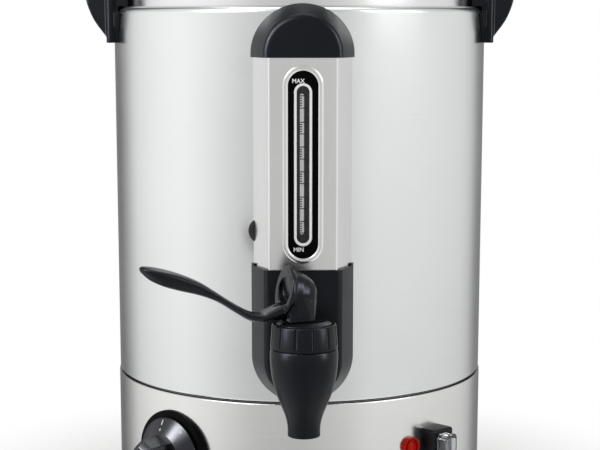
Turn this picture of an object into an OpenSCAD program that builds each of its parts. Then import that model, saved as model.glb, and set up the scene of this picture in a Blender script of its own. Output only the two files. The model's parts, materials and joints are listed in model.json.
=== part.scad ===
// Hot water urn: a double-walled stainless steel body on a heated base, with a sight gauge,
// a lever tap, two side handles and a lift-off lid.
// Millimetres. +Z is up, the tap faces -Y, and the origin is on the body's axis at table level.

/* [Body] */
// Outer radius of the body shell
body_r = 130; // [124:1:150]
// Thickness of the stainless sheet
sheet_t = 0.8; // [0.6:0.1:1.2]
// Height of the base's shoulder above the table
base_h = 95.5; // [92:0.5:110]
// Height of the rim above the base's shoulder
shell_h = 256; // [250:1:290]
// Height of the dark groove between base and shell
seam_gap = 1.2; // [0.8:0.1:2]
// Depth of that groove
seam_depth = 3; // [2:0.5:4]
// Air gap between the tank's wall and the shell
wall_gap = 13.4; // [11.4:0.2:20]
// Height of the tank's floor above the base's shoulder
floor_rise = 11.3; // [10:0.1:16]
// Radius between the tank's wall and its floor
tank_corner_r = 8; // [4:1:14]
// Width of the rim around the lid's recess
rim_w = 7.4; // [6.6:0.2:9]
// Depth of the lid's recess below the rim
lid_recess = 12.5; // [10:0.5:16]
// Radius of the shell's rounded top edge
rim_round = 3.8; // [2:0.2:4.4]

/* [Base] */
// How far the base stands out past the shell
base_proud = 0.6; // [0:0.1:1.5]
// Thickness of the base's sheet
base_t = 1; // [0.8:0.1:1.4]
// Height of the feet
foot_h = 9; // [7:0.5:14]
// Radius of a foot at the table
foot_r = 11; // [9:0.5:14]
// Distance from the shell's wall in to the feet's circle
foot_inset = 30; // [26:1:45]
// Number of vent slots round the bottom plate
vent_count = 12; // [6:1:16]

/* [Controls] */
// Angle of the thermostat knob from the front
knob_angle = -41.5; // [-50:0.5:-38]
// Height of the knob's axis
knob_z = 54; // [50:0.5:58]
// Radius of the round plate behind the knob
knob_plate_r = 30; // [26:0.5:32]
// Radius of the knob's skirt
knob_r = 25.5; // [22:0.5:27]
// How far the knob's grip stands out from the base
knob_reach = 31; // [27:1:38]
// Angle of the pilot lamp from the front
lamp_angle = 33.5; // [32:0.5:34]
// Height of the pilot lamp
lamp_z = 60.3; // [50:0.1:66]
// Radius of the pilot lamp's lens
lamp_r = 7.9; // [7:0.1:8.2]
// Angle of the switch from the front
switch_angle = 42; // [42:0.5:50]
// Height of the switch's centre
switch_z = 57; // [50:0.5:60]
// Width of the switch's housing
switch_w = 18.9; // [17:0.1:19.4]
// Height of the switch's housing
switch_h = 31; // [29:0.5:36]
// How far the switch's housing stands out
switch_d = 11.5; // [10:0.5:14]

/* [Gauge] */
// Width of the gauge cover's front face
cover_front_w = 42.9; // [40:0.1:46]
// Width of the gauge cover where it meets the shell
cover_rear_w = 62; // [58:0.5:64]
// How far the gauge cover stands out
cover_d = 18; // [17:0.5:22]
// Height of the visible cover
cover_h = 132.4; // [126:0.1:150]
// Height of the tap holder's top edge above the base's shoulder
holder_top = 91.5; // [88:0.5:96]
// Radius of the rounded ends of the cap and the holder
gauge_end_r = 32.4; // [31.5:0.1:34]
// Length of the straight part of the gauge's window
window_run = 98; // [80:1:100]
// Width of the black panel in the window
panel_w = 19.6; // [16:0.1:22]
// Radius of the sight tube
tube_r = 4; // [3:0.1:4.4]

/* [Tap] */
// How far the tap's axis stands out from the shell
tap_reach = 50; // [48:0.5:60]
// Height of the tap's shank above the base's shoulder
tap_rise = 34.5; // [32:0.5:40]
// Radius of the spout's bore
spout_bore_r = 6.5; // [5:0.1:7]
// Length of the spout's straight bore
spout_len = 22; // [16:0.5:24]
// Radius of the water chamber
chamber_r = 14.2; // [13:0.1:14.6]
// Number of grip grooves in the collar
groove_count = 12; // [8:1:16]
// Radius of the valve stem
stem_r = 3; // [2.5:0.1:3.4]
// Turns of the valve spring
spring_turns = 6; // [4:0.5:7]
// Angle of the lever from straight left towards the front
lever_turn = 18; // [0:1:90]

/* [Handles] */
// Half length of a side handle
handle_half = 38; // [34:1:44]
// How far a handle stands out from the shell
handle_reach = 21.8; // [20:0.2:26]
// Wall of a handle
handle_wall = 3.2; // [2.6:0.1:4]

/* [Lid] */
// Height of the lid's shoulder above the rim
lid_shoulder = 10; // [8:0.5:14]
// Rise of the lid's dome above its shoulder
dome_rise = 24; // [18:1:32]
// Height of the lid's knob
lid_knob_h = 26; // [22:1:32]
// Radius of the lid's knob
lid_knob_r = 20; // [16:0.5:24]

/* [Fits] */
// Gap between a lift-off or fixed piece and its neighbour
gap = 0.3; // [0.25:0.05:0.4]
// Radial clearance of a running fit
run = 0.05; // [0.03:0.01:0.08]
// Gap between pieces that are screwed together
snug = 0.1; // [0.05:0.01:0.15]

/* [Hidden] */
$fn = 96;

// Shared heights and radii
base_top = base_h + seam_gap;
rim_z = base_h + shell_h;
floor_z = base_h + floor_rise;
tank_under = floor_z - sheet_t;
tank_r = body_r - wall_gap - 2 * sheet_t;
ledge_z = rim_z - lid_recess;
seat_r = body_r - rim_w;
base_r = body_r + base_proud;
base_in = base_r - base_t;
lid_gap = 1.1;
lid_r = seat_r - lid_gap;

// Fasteners: M4 and M5
m4_r = 2;
m5_r = 2.5;
head_h = 2.4;
m4_head_r = 3.5;
m5_head_r = 4.4;
nut_h = 3.6;
nut_r = 4.6;
hole_gap = 0.2;

// Bottom plate, feet and their screws
plate_z0 = foot_h;
plate_z1 = foot_h + base_t;
flange_w = 9;
flange_r = base_r - flange_w;
plate_r = base_r - 3.4;
foot_pocket_r = 5.2;
foot_pocket_h = 4;
rim_screw_r = (flange_r + plate_r) / 2 + 0.2;
foot_ring_r = body_r - foot_inset;
shell_flange_r = body_r - 13;
joint_screw_r = body_r - 8.5;
quarter = [45, 135, 225, 315];

// Concealed heater under the tank's floor
heater_r = tank_r - 41.5;
heater_t = 8;
element_ring_r = heater_r - 13.5;
element_r = 4;
element_gap_deg = 40;
stud_ring_r = heater_r - 33.5;
stud_len = 17;
terminal_h = 20;

// Thermostat and knob, as distances from the body's axis
knob_plate_d = base_r + 2.4;
knob_back_d = knob_plate_d + 0.7;
skirt_edge = 1.6;
grip_foot_r = 15.5;
grip_foot_d = knob_back_d + 8.4;
shaft_r = 3;
bracket_d = base_in - 0.8;
thermostat_r = 17;
thermostat_len = 26;

// Reset button of the over-temperature cut-out, at the rear
cutout_angle = 208;
cutout_z = 50;
button_r = 3;
button_travel = 2;
cutout_neck_r = 5;
cutout_neck_d = base_r + 3.4;

// Cable gland at the rear
gland_angle = 180;
gland_z = 32;
gland_bore_r = 3.7;
gland_out = 14;
gland_in = 13;

// Gauge column, y values are negative towards the front
cover_y = -(body_r + cover_d);
cover_back_y = -(body_r - 3);
skin_y = cover_y - 1.2;
skin_wall = 2.2;
end_front_r = 24;
holder_z = base_h + holder_top;
cover_z0 = holder_z - 1.8;
cover_top = holder_z + cover_h;
cover_z1 = cover_top + 1.8;
round_z = base_h + 32.5;
cap_z = cover_top + 1.1;
window_z = holder_z + cover_h / 2 - 0.7;
lip_r = 2;
panel_in_r = panel_w / 2;
ring_run = window_run - 8.7;
ring_in_r = 4.15;
ring_w = 1.7;
tube_y = -(body_r + 9.5);
tube_wall = 1;
lower_fit_z = tap_z() + 27;
upper_fit_z = cover_top + 8.6;

// Grommet beside the gauge
grommet_angle = -11.8;
grommet_z = holder_z + 22.3;
grommet_r = 8.2;
grommet_t = 1.8;

// Tap, heights above its spout's mouth
tap_y = -(body_r + tap_reach);
spout_z = tap_z() - 42;
seat_z = spout_z + spout_len;
body_top = spout_z + 55.6;
collar_z0 = body_top + 0.4;
collar_z1 = collar_z0 + 15;
neck_r = 16.8;
neck_top = collar_z0 + 6;
collar_low_r = 20.85;
collar_top_r = 19.7;
plate_floor = collar_z1 - 1.4;
plate_top = collar_z1 + 2;
swivel_r = 17;
hub_r = 6;
shank_r = 10.8;
shank_bore_r = 6;
shank_flange_r = 15;
shank_end_y = -(tank_r - 9);
pin_z = plate_top + 11;
pin_r = 1.5;
seal_r = 8.4;
seal_h = 6;
wire_r = 0.6;
coil_r = 6.6;

function tap_z() = base_h + tap_rise;

// ---- Outlines -------------------------------------------------------------------------

// Arc of radius r that rounds corner b between a and c
function fillet(a, b, c, r, n = 6) =
    let(u = (a - b) / norm(a - b), v = (c - b) / norm(c - b),
        half = acos(u * v) / 2,
        o = b + (u + v) / norm(u + v) * r / sin(half),
        p = b + u * r / tan(half) - o, q = b + v * r / tan(half) - o,
        a0 = atan2(p.y, p.x), turn = (atan2(q.y, q.x) - a0 + 540) % 360 - 180)
    [for (i = [0:n]) o + r * [cos(a0 + turn * i / n), sin(a0 + turn * i / n)]];

// Closed outline p with corner i rounded to radius r[i]
function rounded(p, r, n = 6) =
    let(k = len(p))
    [for (i = [0:k - 1]) each (r[i] > 0
        ? fillet(p[(i + k - 1) % k], p[i], p[(i + 1) % k], r[i], n) : [p[i]])];

// Open path p with its inner corners rounded
function rounded_path(p, r, n = 6) =
    [for (i = [0:len(p) - 1]) each (r[i] > 0
        ? fillet(p[i - 1], p[i], p[i + 1], r[i], n) : [p[i]])];

function left_of(a, b) = [a.y - b.y, b.x - a.x] / norm(b - a);

// Outline of a bent sheet whose face follows path p and whose thickness t lies on its left
function sheet(p, t) =
    let(k = len(p) - 1,
        far = [for (i = [0:k])
            let(m = left_of(p[max(i - 1, 0)], p[max(i, 1)]),
                n = left_of(p[min(i, k - 1)], p[min(i + 1, k)]))
            p[i] + t * (m + n) / (1 + m * n)])
    concat(p, [for (i = [k:-1:0]) far[i]]);

// Catmull-Rom point on the table of stations p at parameter t
function along(p, t) =
    let(i = min(floor(t), len(p) - 2), f = t - i,
        a = p[max(i - 1, 0)], b = p[i], c = p[i + 1], d = p[min(i + 2, len(p) - 1)])
    b + f / 2 * ((c - a) + f * ((2 * a - 5 * b + 4 * c - d) + f * (3 * b - a - 3 * c + d)));

// ---- Placing --------------------------------------------------------------------------

function spoke(angle, d, z) = [d * sin(angle), -d * cos(angle), z];

// Local Z points out of the body at this angle from the front, local Y points up
module facing(angle, z, d = 0) {
    rotate([0, 0, angle]) translate([0, -d, z]) rotate([90, 0, 0]) children();
}

// Local Z points out of the gauge's front, local Y points up
module frontward(x = 0, z = 0) {
    translate([x, 0, z]) rotate([90, 0, 0]) children();
}

// Local X runs out along the lever, local Z is up, on the tap's axis
module lever_frame() {
    translate([0, tap_y, 0]) rotate([0, 0, 180 + lever_turn]) children();
}

module ring(r_out, r_in, h) {
    difference() {
        cylinder(r = r_out, h = h);
        translate([0, 0, -1]) cylinder(r = r_in, h = h + 2);
    }
}

// Everything inside the radius r, to trim the back of what lies on a round wall
module core(r) {
    translate([0, 0, -10]) cylinder(r = r, h = rim_z + 200, $fn = 180);
}

// Slot outline of half width r whose straight part is run long
module slot(run_len, r, h) {
    linear_extrude(h) union() {
        translate([-r, -run_len / 2]) square([2 * r, run_len]);
        for (s = [-1, 1]) translate([0, s * run_len / 2]) circle(r = r);
    }
}

// Carries a profile of (distance from the slot's middle line, height) round a slot
module round_slot(run_len) {
    for (s = [0, 180]) rotate([0, 0, s]) {
        translate([0, run_len / 2, 0]) rotate_extrude(angle = 180) children();
        translate([0, run_len / 2, 0]) rotate([90, 0, 0]) linear_extrude(run_len) children();
    }
}

// Tube of radius r along 3-D points; side is a direction that never lies along the route
module sweep(points, r, sides, side) {
    k = len(points);
    rings = [for (i = [0:k - 1])
        let(t = points[min(i + 1, k - 1)] - points[max(i - 1, 0)],
            u = cross(t, side) / norm(cross(t, side)),
            v = cross(u, t) / norm(t))
        for (j = [0:sides - 1])
            points[i] + r * (u * cos(360 * j / sides) + v * sin(360 * j / sides))];
    loft(rings, k, sides);
}

// Closed skin over k rings of the same number of points
module loft(rings, k, sides) {
    walls = [for (i = [0:k - 2], j = [0:sides - 1])
        let(a = i * sides + j, b = i * sides + (j + 1) % sides)
        each [[a, b + sides, a + sides], [a, b, b + sides]]];
    ends = [[for (j = [sides - 1:-1:0]) j], [for (j = [0:sides - 1]) (k - 1) * sides + j]];
    polyhedron(rings, concat(walls, ends), convexity = 6);
}

module hex_nut(r, h, bore) {
    difference() {
        cylinder(r = r, h = h, $fn = 6);
        translate([0, 0, -1]) cylinder(r = bore, h = h + 2);
    }
}

// Pan-head screw that points up: its head hangs below z = 0
module screw(r, len, head_r) {
    translate([0, 0, -head_h]) cylinder(r = head_r, h = head_h);
    translate([0, 0, -head_h / 2]) cylinder(r = r, h = len + head_h / 2);
}

// ---- Base -----------------------------------------------------------------------------

module base_housing() {
    path = rounded_path(
        [[flange_r, plate_z1], [base_r, plate_z1], [base_r, base_h],
         [body_r - seam_depth, base_h], [body_r - seam_depth, base_top],
         [shell_flange_r - 1, base_top]],
        [0, 2, 3.2, 0, 0, 0]);
    color("silver") difference() {
        rotate_extrude($fn = 180) polygon(sheet(path, base_t));
        facing(knob_angle, knob_z) cylinder(r = 9, h = base_r + 5);
        for (s = [-1, 1]) facing(knob_angle, knob_z)
            translate([s * 10, 0, 0]) cylinder(r = m4_r + hole_gap, h = base_r + 5);
        facing(lamp_angle, lamp_z) cylinder(r = 5.6, h = base_r + 5);
        facing(switch_angle, switch_z) translate([-7.5, -13.5, base_r - 20]) cube([15, 27, 25]);
        facing(cutout_angle, cutout_z) cylinder(r = cutout_neck_r + hole_gap, h = base_r + 5);
        facing(gland_angle, gland_z) cylinder(r = 6.2, h = base_r + 5);
        for (a = quarter) rotate([0, 0, a]) {
            translate([0, joint_screw_r, base_top - 5])
                cylinder(r = m4_r + hole_gap, h = 10);
            translate([0, rim_screw_r, plate_z1 - 3]) cylinder(r = m4_r + hole_gap, h = 8);
        }
    }
}

module bottom_plate() {
    color("gainsboro") difference() {
        translate([0, 0, plate_z0]) cylinder(r = plate_r, h = base_t);
        for (i = [0:vent_count - 1]) rotate([0, 0, (i + 0.5) * 360 / vent_count])
            translate([0, 62, plate_z0 - 1]) slot(20, 1.8, base_t + 2);
        for (a = quarter) rotate([0, 0, a]) {
            translate([0, foot_ring_r, plate_z0 - 1])
                cylinder(r = m5_r + hole_gap, h = base_t + 2);
            translate([0, rim_screw_r, plate_z0 - 1])
                cylinder(r = m4_r + hole_gap, h = base_t + 2);
        }
    }
}

module feet() {
    color("dimgray") for (a = quarter) rotate([0, 0, a]) translate([0, foot_ring_r, 0])
        difference() {
            cylinder(r1 = foot_r, r2 = foot_r + 1.5, h = foot_h, $fn = 48);
            translate([0, 0, -1]) cylinder(r = foot_pocket_r, h = foot_pocket_h + 1);
            cylinder(r = m5_r + hole_gap, h = foot_h + 1);
        }
}

module foot_screws() {
    reach = plate_z1 + nut_h + 1.4 - foot_pocket_h;
    color("lightgray") for (a = quarter) rotate([0, 0, a])
        translate([0, foot_ring_r, foot_pocket_h]) screw(m5_r, reach, m5_head_r);
}

// Screws that hold the bottom plate, and those that hold the shell on the base
module base_screws() {
    color("lightgray") for (a = quarter) rotate([0, 0, a]) {
        translate([0, rim_screw_r, plate_z0]) screw(m4_r, 8, m4_head_r);
        translate([0, joint_screw_r, base_top - base_t]) screw(m4_r, 8, m4_head_r);
    }
}

module hex_nuts() {
    color("lightgray") {
        for (a = quarter) rotate([0, 0, a]) translate([0, foot_ring_r, plate_z1])
            hex_nut(nut_r, nut_h, m5_r + snug / 2);
        for (a = [0, 120, 240]) rotate([0, 0, a])
            translate([0, stud_ring_r, tank_under - heater_t - nut_h])
                hex_nut(nut_r, nut_h, m5_r + snug / 2);
    }
}

// ---- Body -----------------------------------------------------------------------------

module outer_shell() {
    path = rounded_path(
        [[shell_flange_r, base_top], [body_r, base_top], [body_r, rim_z - sheet_t],
         [seat_r + sheet_t + 1.4, rim_z - sheet_t]],
        [0, 1.2, rim_round, 0]);
    color("silver") difference() {
        rotate_extrude($fn = 180) polygon(sheet(path, sheet_t));
        frontward(0, tap_z()) cylinder(r = shank_r + gap, h = body_r + 5);
        for (z = [lower_fit_z, upper_fit_z])
            frontward(0, z) cylinder(r = 5 + gap, h = body_r + 5);
        facing(grommet_angle, grommet_z) cylinder(r = 5 + snug, h = body_r + 5);
        for (p = gauge_screw_places())
            frontward(p.x, p.y) cylinder(r = m4_r + hole_gap, h = body_r + 5);
        for (s = [-1, 1], y = [-1, 1]) translate([s * body_r, y * handle_screw_y(), handle_screw_z()])
            rotate([0, 90, 0]) cylinder(r = m4_r + hole_gap, h = 30, center = true);
        for (a = quarter) rotate([0, 0, a]) translate([0, joint_screw_r, base_top - 5])
            cylinder(r = m4_r + hole_gap, h = 10);
    }
}

module inner_tank() {
    path = rounded_path(
        [[0, floor_z], [tank_r, floor_z], [tank_r, ledge_z], [seat_r, ledge_z],
         [seat_r, rim_z], [body_r - rim_round, rim_z]],
        [0, tank_corner_r, 1.4, 1, 1.4, 0]);
    color("whitesmoke") {
        difference() {
            rotate_extrude($fn = 180) polygon(sheet(path, -sheet_t));
            frontward(0, tap_z()) cylinder(r = shank_r + gap, h = body_r);
            for (z = [lower_fit_z, upper_fit_z])
                frontward(0, z) cylinder(r = 5 + gap, h = body_r);
        }
        // Weld studs for the heater
        for (a = [0, 120, 240]) rotate([0, 0, a])
            translate([0, stud_ring_r, tank_under - stud_len])
                cylinder(r = m5_r, h = stud_len + sheet_t / 2);
    }
}

module heater_plate() {
    color("darkgray") difference() {
        translate([0, 0, tank_under - heater_t]) cylinder(r = heater_r, h = heater_t);
        translate([0, 0, tank_under - heater_t])
            rotate_extrude() translate([element_ring_r, 0]) circle(r = element_r + snug);
        for (a = [0, 120, 240]) rotate([0, 0, a])
            translate([0, stud_ring_r, tank_under - heater_t - 1])
                cylinder(r = m5_r + hole_gap, h = heater_t + 2);
    }
}

// Tubular element in the heater's groove, with a cold tail and terminal at each end
module heating_element() {
    sweep_deg = 360 - element_gap_deg;
    ring_z = tank_under - heater_t;
    color("slategray") rotate([0, 0, 90 + element_gap_deg / 2]) {
        translate([0, 0, ring_z]) rotate_extrude(angle = sweep_deg)
            translate([element_ring_r, 0]) circle(r = element_r, $fn = 32);
        for (a = [0, sweep_deg]) rotate([0, 0, a]) translate([element_ring_r, 0, ring_z]) {
            translate([0, 0, -terminal_h]) cylinder(r = element_r + 1, h = terminal_h - 0.6);
            translate([-3, -0.5, -terminal_h - 8]) cube([6, 1, 9]);
        }
    }
}

// ---- Controls -------------------------------------------------------------------------

// Thermostat can behind the base's wall, with its mounting bracket
module thermostat_body() {
    color("lightgray") difference() {
        union() {
            facing(knob_angle, knob_z, bracket_d - thermostat_len) {
                cylinder(r = thermostat_r, h = thermostat_len - 8);
                translate([-10, -8, 0]) cube([20, 16, thermostat_len - 1]);
                for (x = [-9, 5]) translate([x, -2, -9]) cube([4, 0.8, 10]);
            }
            facing(knob_angle, knob_z, bracket_d - 2)
                translate([-13, -10, 0]) cube([26, 20, 2]);
        }
        facing(knob_angle, knob_z, bracket_d - 16) cylinder(r = shaft_r + run, h = 30);
        for (s = [-1, 1]) facing(knob_angle, knob_z, bracket_d - 10)
            translate([s * 10, 0, 0]) cylinder(r = m4_r + snug / 2, h = 20);
    }
}

// Place along the bulb's line, which passes the heater's edge on the left
function beside_heater(x, y, z) = let(r = x - heater_r - 5.6)
    [r * cos(8) - y * sin(8), r * sin(8) + y * cos(8), z];

// Capillary from the thermostat to its bulb under the tank's floor
module thermostat_capillary() {
    bulb_z = tank_under - 3.1;
    can_d = bracket_d - thermostat_len;
    route = [spoke(knob_angle, can_d - snug, knob_z + 10),
        spoke(knob_angle, can_d - 9, knob_z + 10.5), spoke(knob_angle, can_d - 12.5, knob_z + 18),
        spoke(knob_angle + 0.6, can_d - 12.5, knob_z + 30), beside_heater(6.2, -55.4, bulb_z - 8),
        beside_heater(2.1, -49.8, bulb_z - 1.6), beside_heater(0, -38.3, bulb_z)];
    path = [for (i = [0:24]) along(route, i / 24 * (len(route) - 1))];
    color("peru") {
        sweep(path, 1, 8, [1, 0.3, 0.1]);
        translate(beside_heater(0, -38.4, bulb_z)) rotate([-90, 0, 8])
            cylinder(r = 3, h = 60, $fn = 32);
    }
}

module thermostat_screws() {
    color("lightgray") for (s = [-1, 1])
        facing(knob_angle, knob_z, knob_plate_d - head_h)
            translate([s * 10, 0, 0]) rotate([180, 0, 0]) screw(m4_r, 8, m4_head_r);
}

module knob_shaft() {
    color("gainsboro") facing(knob_angle, knob_z, bracket_d - 15)
        cylinder(r = shaft_r, h = knob_back_d + 16 - bracket_d + 15);
}

// Round dial plate, hollowed at the back to sit on the base's curve
module knob_plate() {
    color("black") difference() {
        facing(knob_angle, knob_z) rotate_extrude() polygon(rounded(
            [[9, base_r - 12], [knob_plate_r, base_r - 12], [knob_plate_r, knob_plate_d],
             [9, knob_plate_d]], [0, 0, 1.2, 0]));
        core(base_r + snug / 2);
        for (s = [-1, 1]) facing(knob_angle, knob_z) translate([s * 10, 0, 0]) {
            cylinder(r = m4_r + hole_gap, h = body_r + 20);
            translate([0, 0, knob_plate_d - head_h]) cylinder(r = m4_head_r + snug, h = 10);
        }
    }
}

// Conical skirt with a faceted pointer grip
module control_knob() {
    grip = [[0, 15], [-8.5, 9], [-8.5, -9], [0, -15], [8.5, -9], [8.5, 9]];
    grip_h = base_r + knob_reach - grip_foot_d;
    color("black") difference() {
        union() {
            facing(knob_angle, knob_z) rotate_extrude() polygon(
                [[0, knob_back_d], [knob_r, knob_back_d], [knob_r, knob_back_d + skirt_edge],
                 [grip_foot_r, grip_foot_d], [0, grip_foot_d]]);
            facing(knob_angle, knob_z, grip_foot_d - 2) rotate([0, 0, 8]) hull() {
                linear_extrude(grip_h - 2) polygon(grip);
                linear_extrude(grip_h + 2) polygon(0.72 * grip);
            }
        }
        facing(knob_angle, knob_z, 0) {
            cylinder(r = shaft_r + snug / 2, h = knob_back_d + 16 + snug);
            rotate_extrude() polygon(
                [[8, knob_back_d - 1], [knob_r - 2.4, knob_back_d - 1],
                 [knob_r - 2.4, knob_back_d + 0.8], [12, knob_back_d + 5],
                 [8, knob_back_d + 5]]);
        }
    }
}

// Over-temperature cut-out with a manual reset, behind the rear wall
module safety_cutout() {
    color("dimgray") facing(cutout_angle, cutout_z) difference() {
        union() {
            translate([0, 0, base_in - 30]) cylinder(r = 11, h = 24);
            translate([0, 0, base_in - 8]) cylinder(r = 8, h = 8 - gap);
            translate([0, 0, base_in - 8]) cylinder(r = cutout_neck_r, h = cutout_neck_d - base_in + 8);
            for (x = [-7, 3]) translate([x, -3, base_in - 38]) cube([4, 0.8, 9]);
        }
        translate([0, 0, base_in - 22]) cylinder(r = button_r + run, h = 60);
    }
}

module reset_button() {
    color("red") facing(cutout_angle, cutout_z) {
        translate([0, 0, base_in - 18]) cylinder(r = button_r, h = cutout_neck_d - base_in + 18
            + button_travel);
    }
}

module reset_bezel() {
    color("black") facing(cutout_angle, cutout_z) difference() {
        translate([0, 0, base_r + gap]) cylinder(r = 8.5, h = cutout_neck_d - base_r - gap);
        cylinder(r = cutout_neck_r + snug / 2, h = body_r + 20);
    }
}

// Three-way screw terminal on the bottom plate
module terminal_block() {
    color("ivory") translate([-20, 66, plate_z1]) difference() {
        cube([40, 16, 16]);
        for (i = [0:2]) translate([8 + 12 * i, 8, 0]) {
            translate([0, 0, 8]) cylinder(r = 3, h = 10);
            translate([0, 10, 5]) rotate([90, 0, 0]) cylinder(r = 2.2, h = 20);
        }
    }
}

module cable_gland() {
    color("black") facing(gland_angle, gland_z) difference() {
        union() {
            translate([0, 0, base_r + gap]) cylinder(r = 10.5, h = 4, $fn = 6);
            translate([0, 0, base_r + 3]) cylinder(r1 = 9, r2 = 6.6, h = gland_out - 3);
            translate([0, 0, base_in - gland_in]) cylinder(r = 6, h = gland_in + 5);
        }
        translate([0, 0, base_in - gland_in - 1])
            cylinder(r = gland_bore_r, h = gland_in + gland_out + base_t + 2);
    }
}

module gland_nut() {
    color("black") facing(gland_angle, gland_z, base_in - 5.6)
        hex_nut(10.5, 5, 6 + snug / 2);
}

// Ribbed red lens with a raised rim
module pilot_lens() {
    color("red") difference() {
        facing(lamp_angle, lamp_z) rotate_extrude() polygon(concat(
            [[0, base_in - 4], [5.2, base_in - 4], [5.2, base_r - 1], [lamp_r, base_r - 1]],
            fillet([lamp_r, base_r - 1], [lamp_r, base_r + 3], [0, base_r + 3], 0.8),
            [[lamp_r - 1.6, base_r + 3], [lamp_r - 2, base_r + 2.4],
             [3.5, base_r + 3.1], [0, base_r + 3.4]]));
        difference() {
            core(base_r + snug / 2);
            facing(lamp_angle, lamp_z) cylinder(r = 5.2, h = body_r + 20);
        }
    }
}

module pilot_lamp_body() {
    color("dimgray") facing(lamp_angle, lamp_z) {
        translate([0, 0, base_in - 26]) cylinder(r = 5, h = 22 - snug);
        translate([0, 0, base_in - 8]) cylinder(r = 8, h = 4 - snug);
        for (x = [-3, 2.2]) translate([x, -2, base_in - 33]) cube([0.8, 4, 8]);
    }
}

pocket_w = 11.6;
pocket_h = 21.8;
pivot_back = 5.1;

module switch_housing() {
    front_d = base_r + switch_d;
    color("black") difference() {
        union() {
            difference() {
                facing(switch_angle, switch_z, base_r - 6) linear_extrude(switch_d + 6)
                    polygon(rounded([for (c = [[-1, -1], [1, -1], [1, 1], [-1, 1]])
                        [c.x * switch_w / 2, c.y * switch_h / 2]], [2, 2, 2, 2]));
                core(base_r + snug / 2);
            }
            facing(switch_angle, switch_z, base_in - 18)
                translate([-7.2, -13.2, 0]) cube([14.4, 26.4, 24]);
            facing(switch_angle, switch_z, base_in - 27)
                for (y = [-8, 0, 8]) translate([-3, y - 0.4, 0]) cube([6, 0.8, 10]);
        }
        facing(switch_angle, switch_z, front_d - 9)
            translate([-pocket_w / 2, -pocket_h / 2, 0]) cube([pocket_w, pocket_h, 20]);
        facing(switch_angle, switch_z, front_d - pivot_back) rotate([0, 90, 0])
            cylinder(r = 1.5 + run, h = 2 * 7.4, center = true);
    }
}

// Rocker on its own trunnions, resting with its lower half pressed in
module switch_rocker() {
    half = 8.4;
    color([0.1, 0.1, 0.11]) facing(switch_angle, switch_z, base_r + switch_d - pivot_back)
        rotate([7, 0, 0]) union() {
            translate([-4.3, 0, 0]) rotate([90, 0, 90]) linear_extrude(8.6) polygon(rounded(
                [[-half, 0.2], [-4, -1.9], [4, -1.9], [half, 0.2], [half, 4.8], [0, 3.2],
                 [-half, 4.8]], [0.6, 0.8, 0.8, 0.6, 0.8, 3, 0.8]));
            rotate([0, 90, 0]) cylinder(r = 1.5, h = 14.2, center = true);
        }
}

// Clear splash cap over the rocker
module switch_cap() {
    out_w = 11.2;
    out_h = 21.2;
    reach = 7;
    color([0.8, 0.85, 0.9, 0.4]) facing(switch_angle, switch_z, base_r + switch_d - 1.8)
        difference() {
            linear_extrude(reach + 1.8) polygon(rounded(
                [for (c = [[-1, -1], [1, -1], [1, 1], [-1, 1]])
                    [c.x * out_w / 2, c.y * out_h / 2]], [2.2, 2.2, 2.2, 2.2]));
            translate([0, 0, -1]) linear_extrude(reach + 1.8) polygon(rounded(
                [for (c = [[-1, -1], [1, -1], [1, 1], [-1, 1]])
                    [c.x * (out_w / 2 - 0.8), c.y * (out_h / 2 - 0.8)]], [1.4, 1.4, 1.4, 1.4]));
        }
}

// ---- Gauge ----------------------------------------------------------------------------

// Half width of the black end pieces and of the steel cover at depth y
function skin_half(y) = end_front_r
    + (gauge_end_r - end_front_r) * (y - skin_y) / (cover_back_y - skin_y);
function cover_half(y) = cover_front_w / 2
    + (cover_rear_w - cover_front_w) / 2 * (y - cover_y) / (cover_back_y - cover_y);

inner_y = -(body_r - 14);

// Plan outline of the end pieces, w inside their skin
function skin_plan(w, r) = rounded(
    [[-skin_half(inner_y) + w, inner_y], [-skin_half(skin_y) + w, skin_y + w],
     [skin_half(skin_y) - w, skin_y + w], [skin_half(inner_y) - w, inner_y]], [0, r, r, 0]);

// Plan outline of the steel cover, grown by g
function cover_plan(g, r) = rounded(
    [[-cover_half(inner_y) - g, inner_y], [-cover_half(cover_y) - g, cover_y - g],
     [cover_half(cover_y) + g, cover_y - g], [cover_half(inner_y) + g, inner_y]], [0, r, r, 0]);

// Half of a round end, w inside the skin, rising from its straight edge
module round_end(w, r) {
    rotate([90, 0, 0]) rotate_extrude(angle = 180) polygon(rounded(
        [[0, -inner_y], [skin_half(inner_y) - w, -inner_y], [skin_half(skin_y) - w, -skin_y - w],
         [0, -skin_y - w]], [0, 0, r, 0]));
}

function gauge_screw_places() =
    [[-20, round_z + 32], [20, round_z + 32], [-17, cap_z + 10], [17, cap_z + 10]];

// Boss that a screw from inside the shell bites into
module screw_boss(p) {
    frontward(p.x, p.y) cylinder(r = 4, h = -skin_y - 1);
}

module boss_hole(p) {
    frontward(p.x, p.y) cylinder(r = m4_r + snug / 2, h = body_r + 9);
}

module gauge_cover() {
    color("silver") difference() {
        union() {
            difference() {
                translate([0, 0, cover_z0]) linear_extrude(cover_z1 - cover_z0)
                    polygon(cover_plan(0, 1.6));
                translate([0, 0, cover_z0 - 1]) linear_extrude(cover_z1 - cover_z0 + 2)
                    polygon(cover_plan(-sheet_t, 0.8));
                frontward(0, window_z) translate([0, 0, -cover_y - 8])
                    slot(window_run, panel_in_r + lip_r, 20);
            }
            // Lip that turns in round the window
            frontward(0, window_z) round_slot(window_run) polygon(sheet(rounded_path(
                [[panel_in_r, -cover_y - 2], [panel_in_r, -cover_y],
                 [panel_in_r + lip_r + 0.4, -cover_y]], [0, lip_r - 0.2, 0]), -sheet_t));
        }
        core(body_r + snug / 2);
        facing(grommet_angle, grommet_z) cylinder(r = grommet_r + gap, h = body_r + grommet_t + gap);
    }
}

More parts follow.
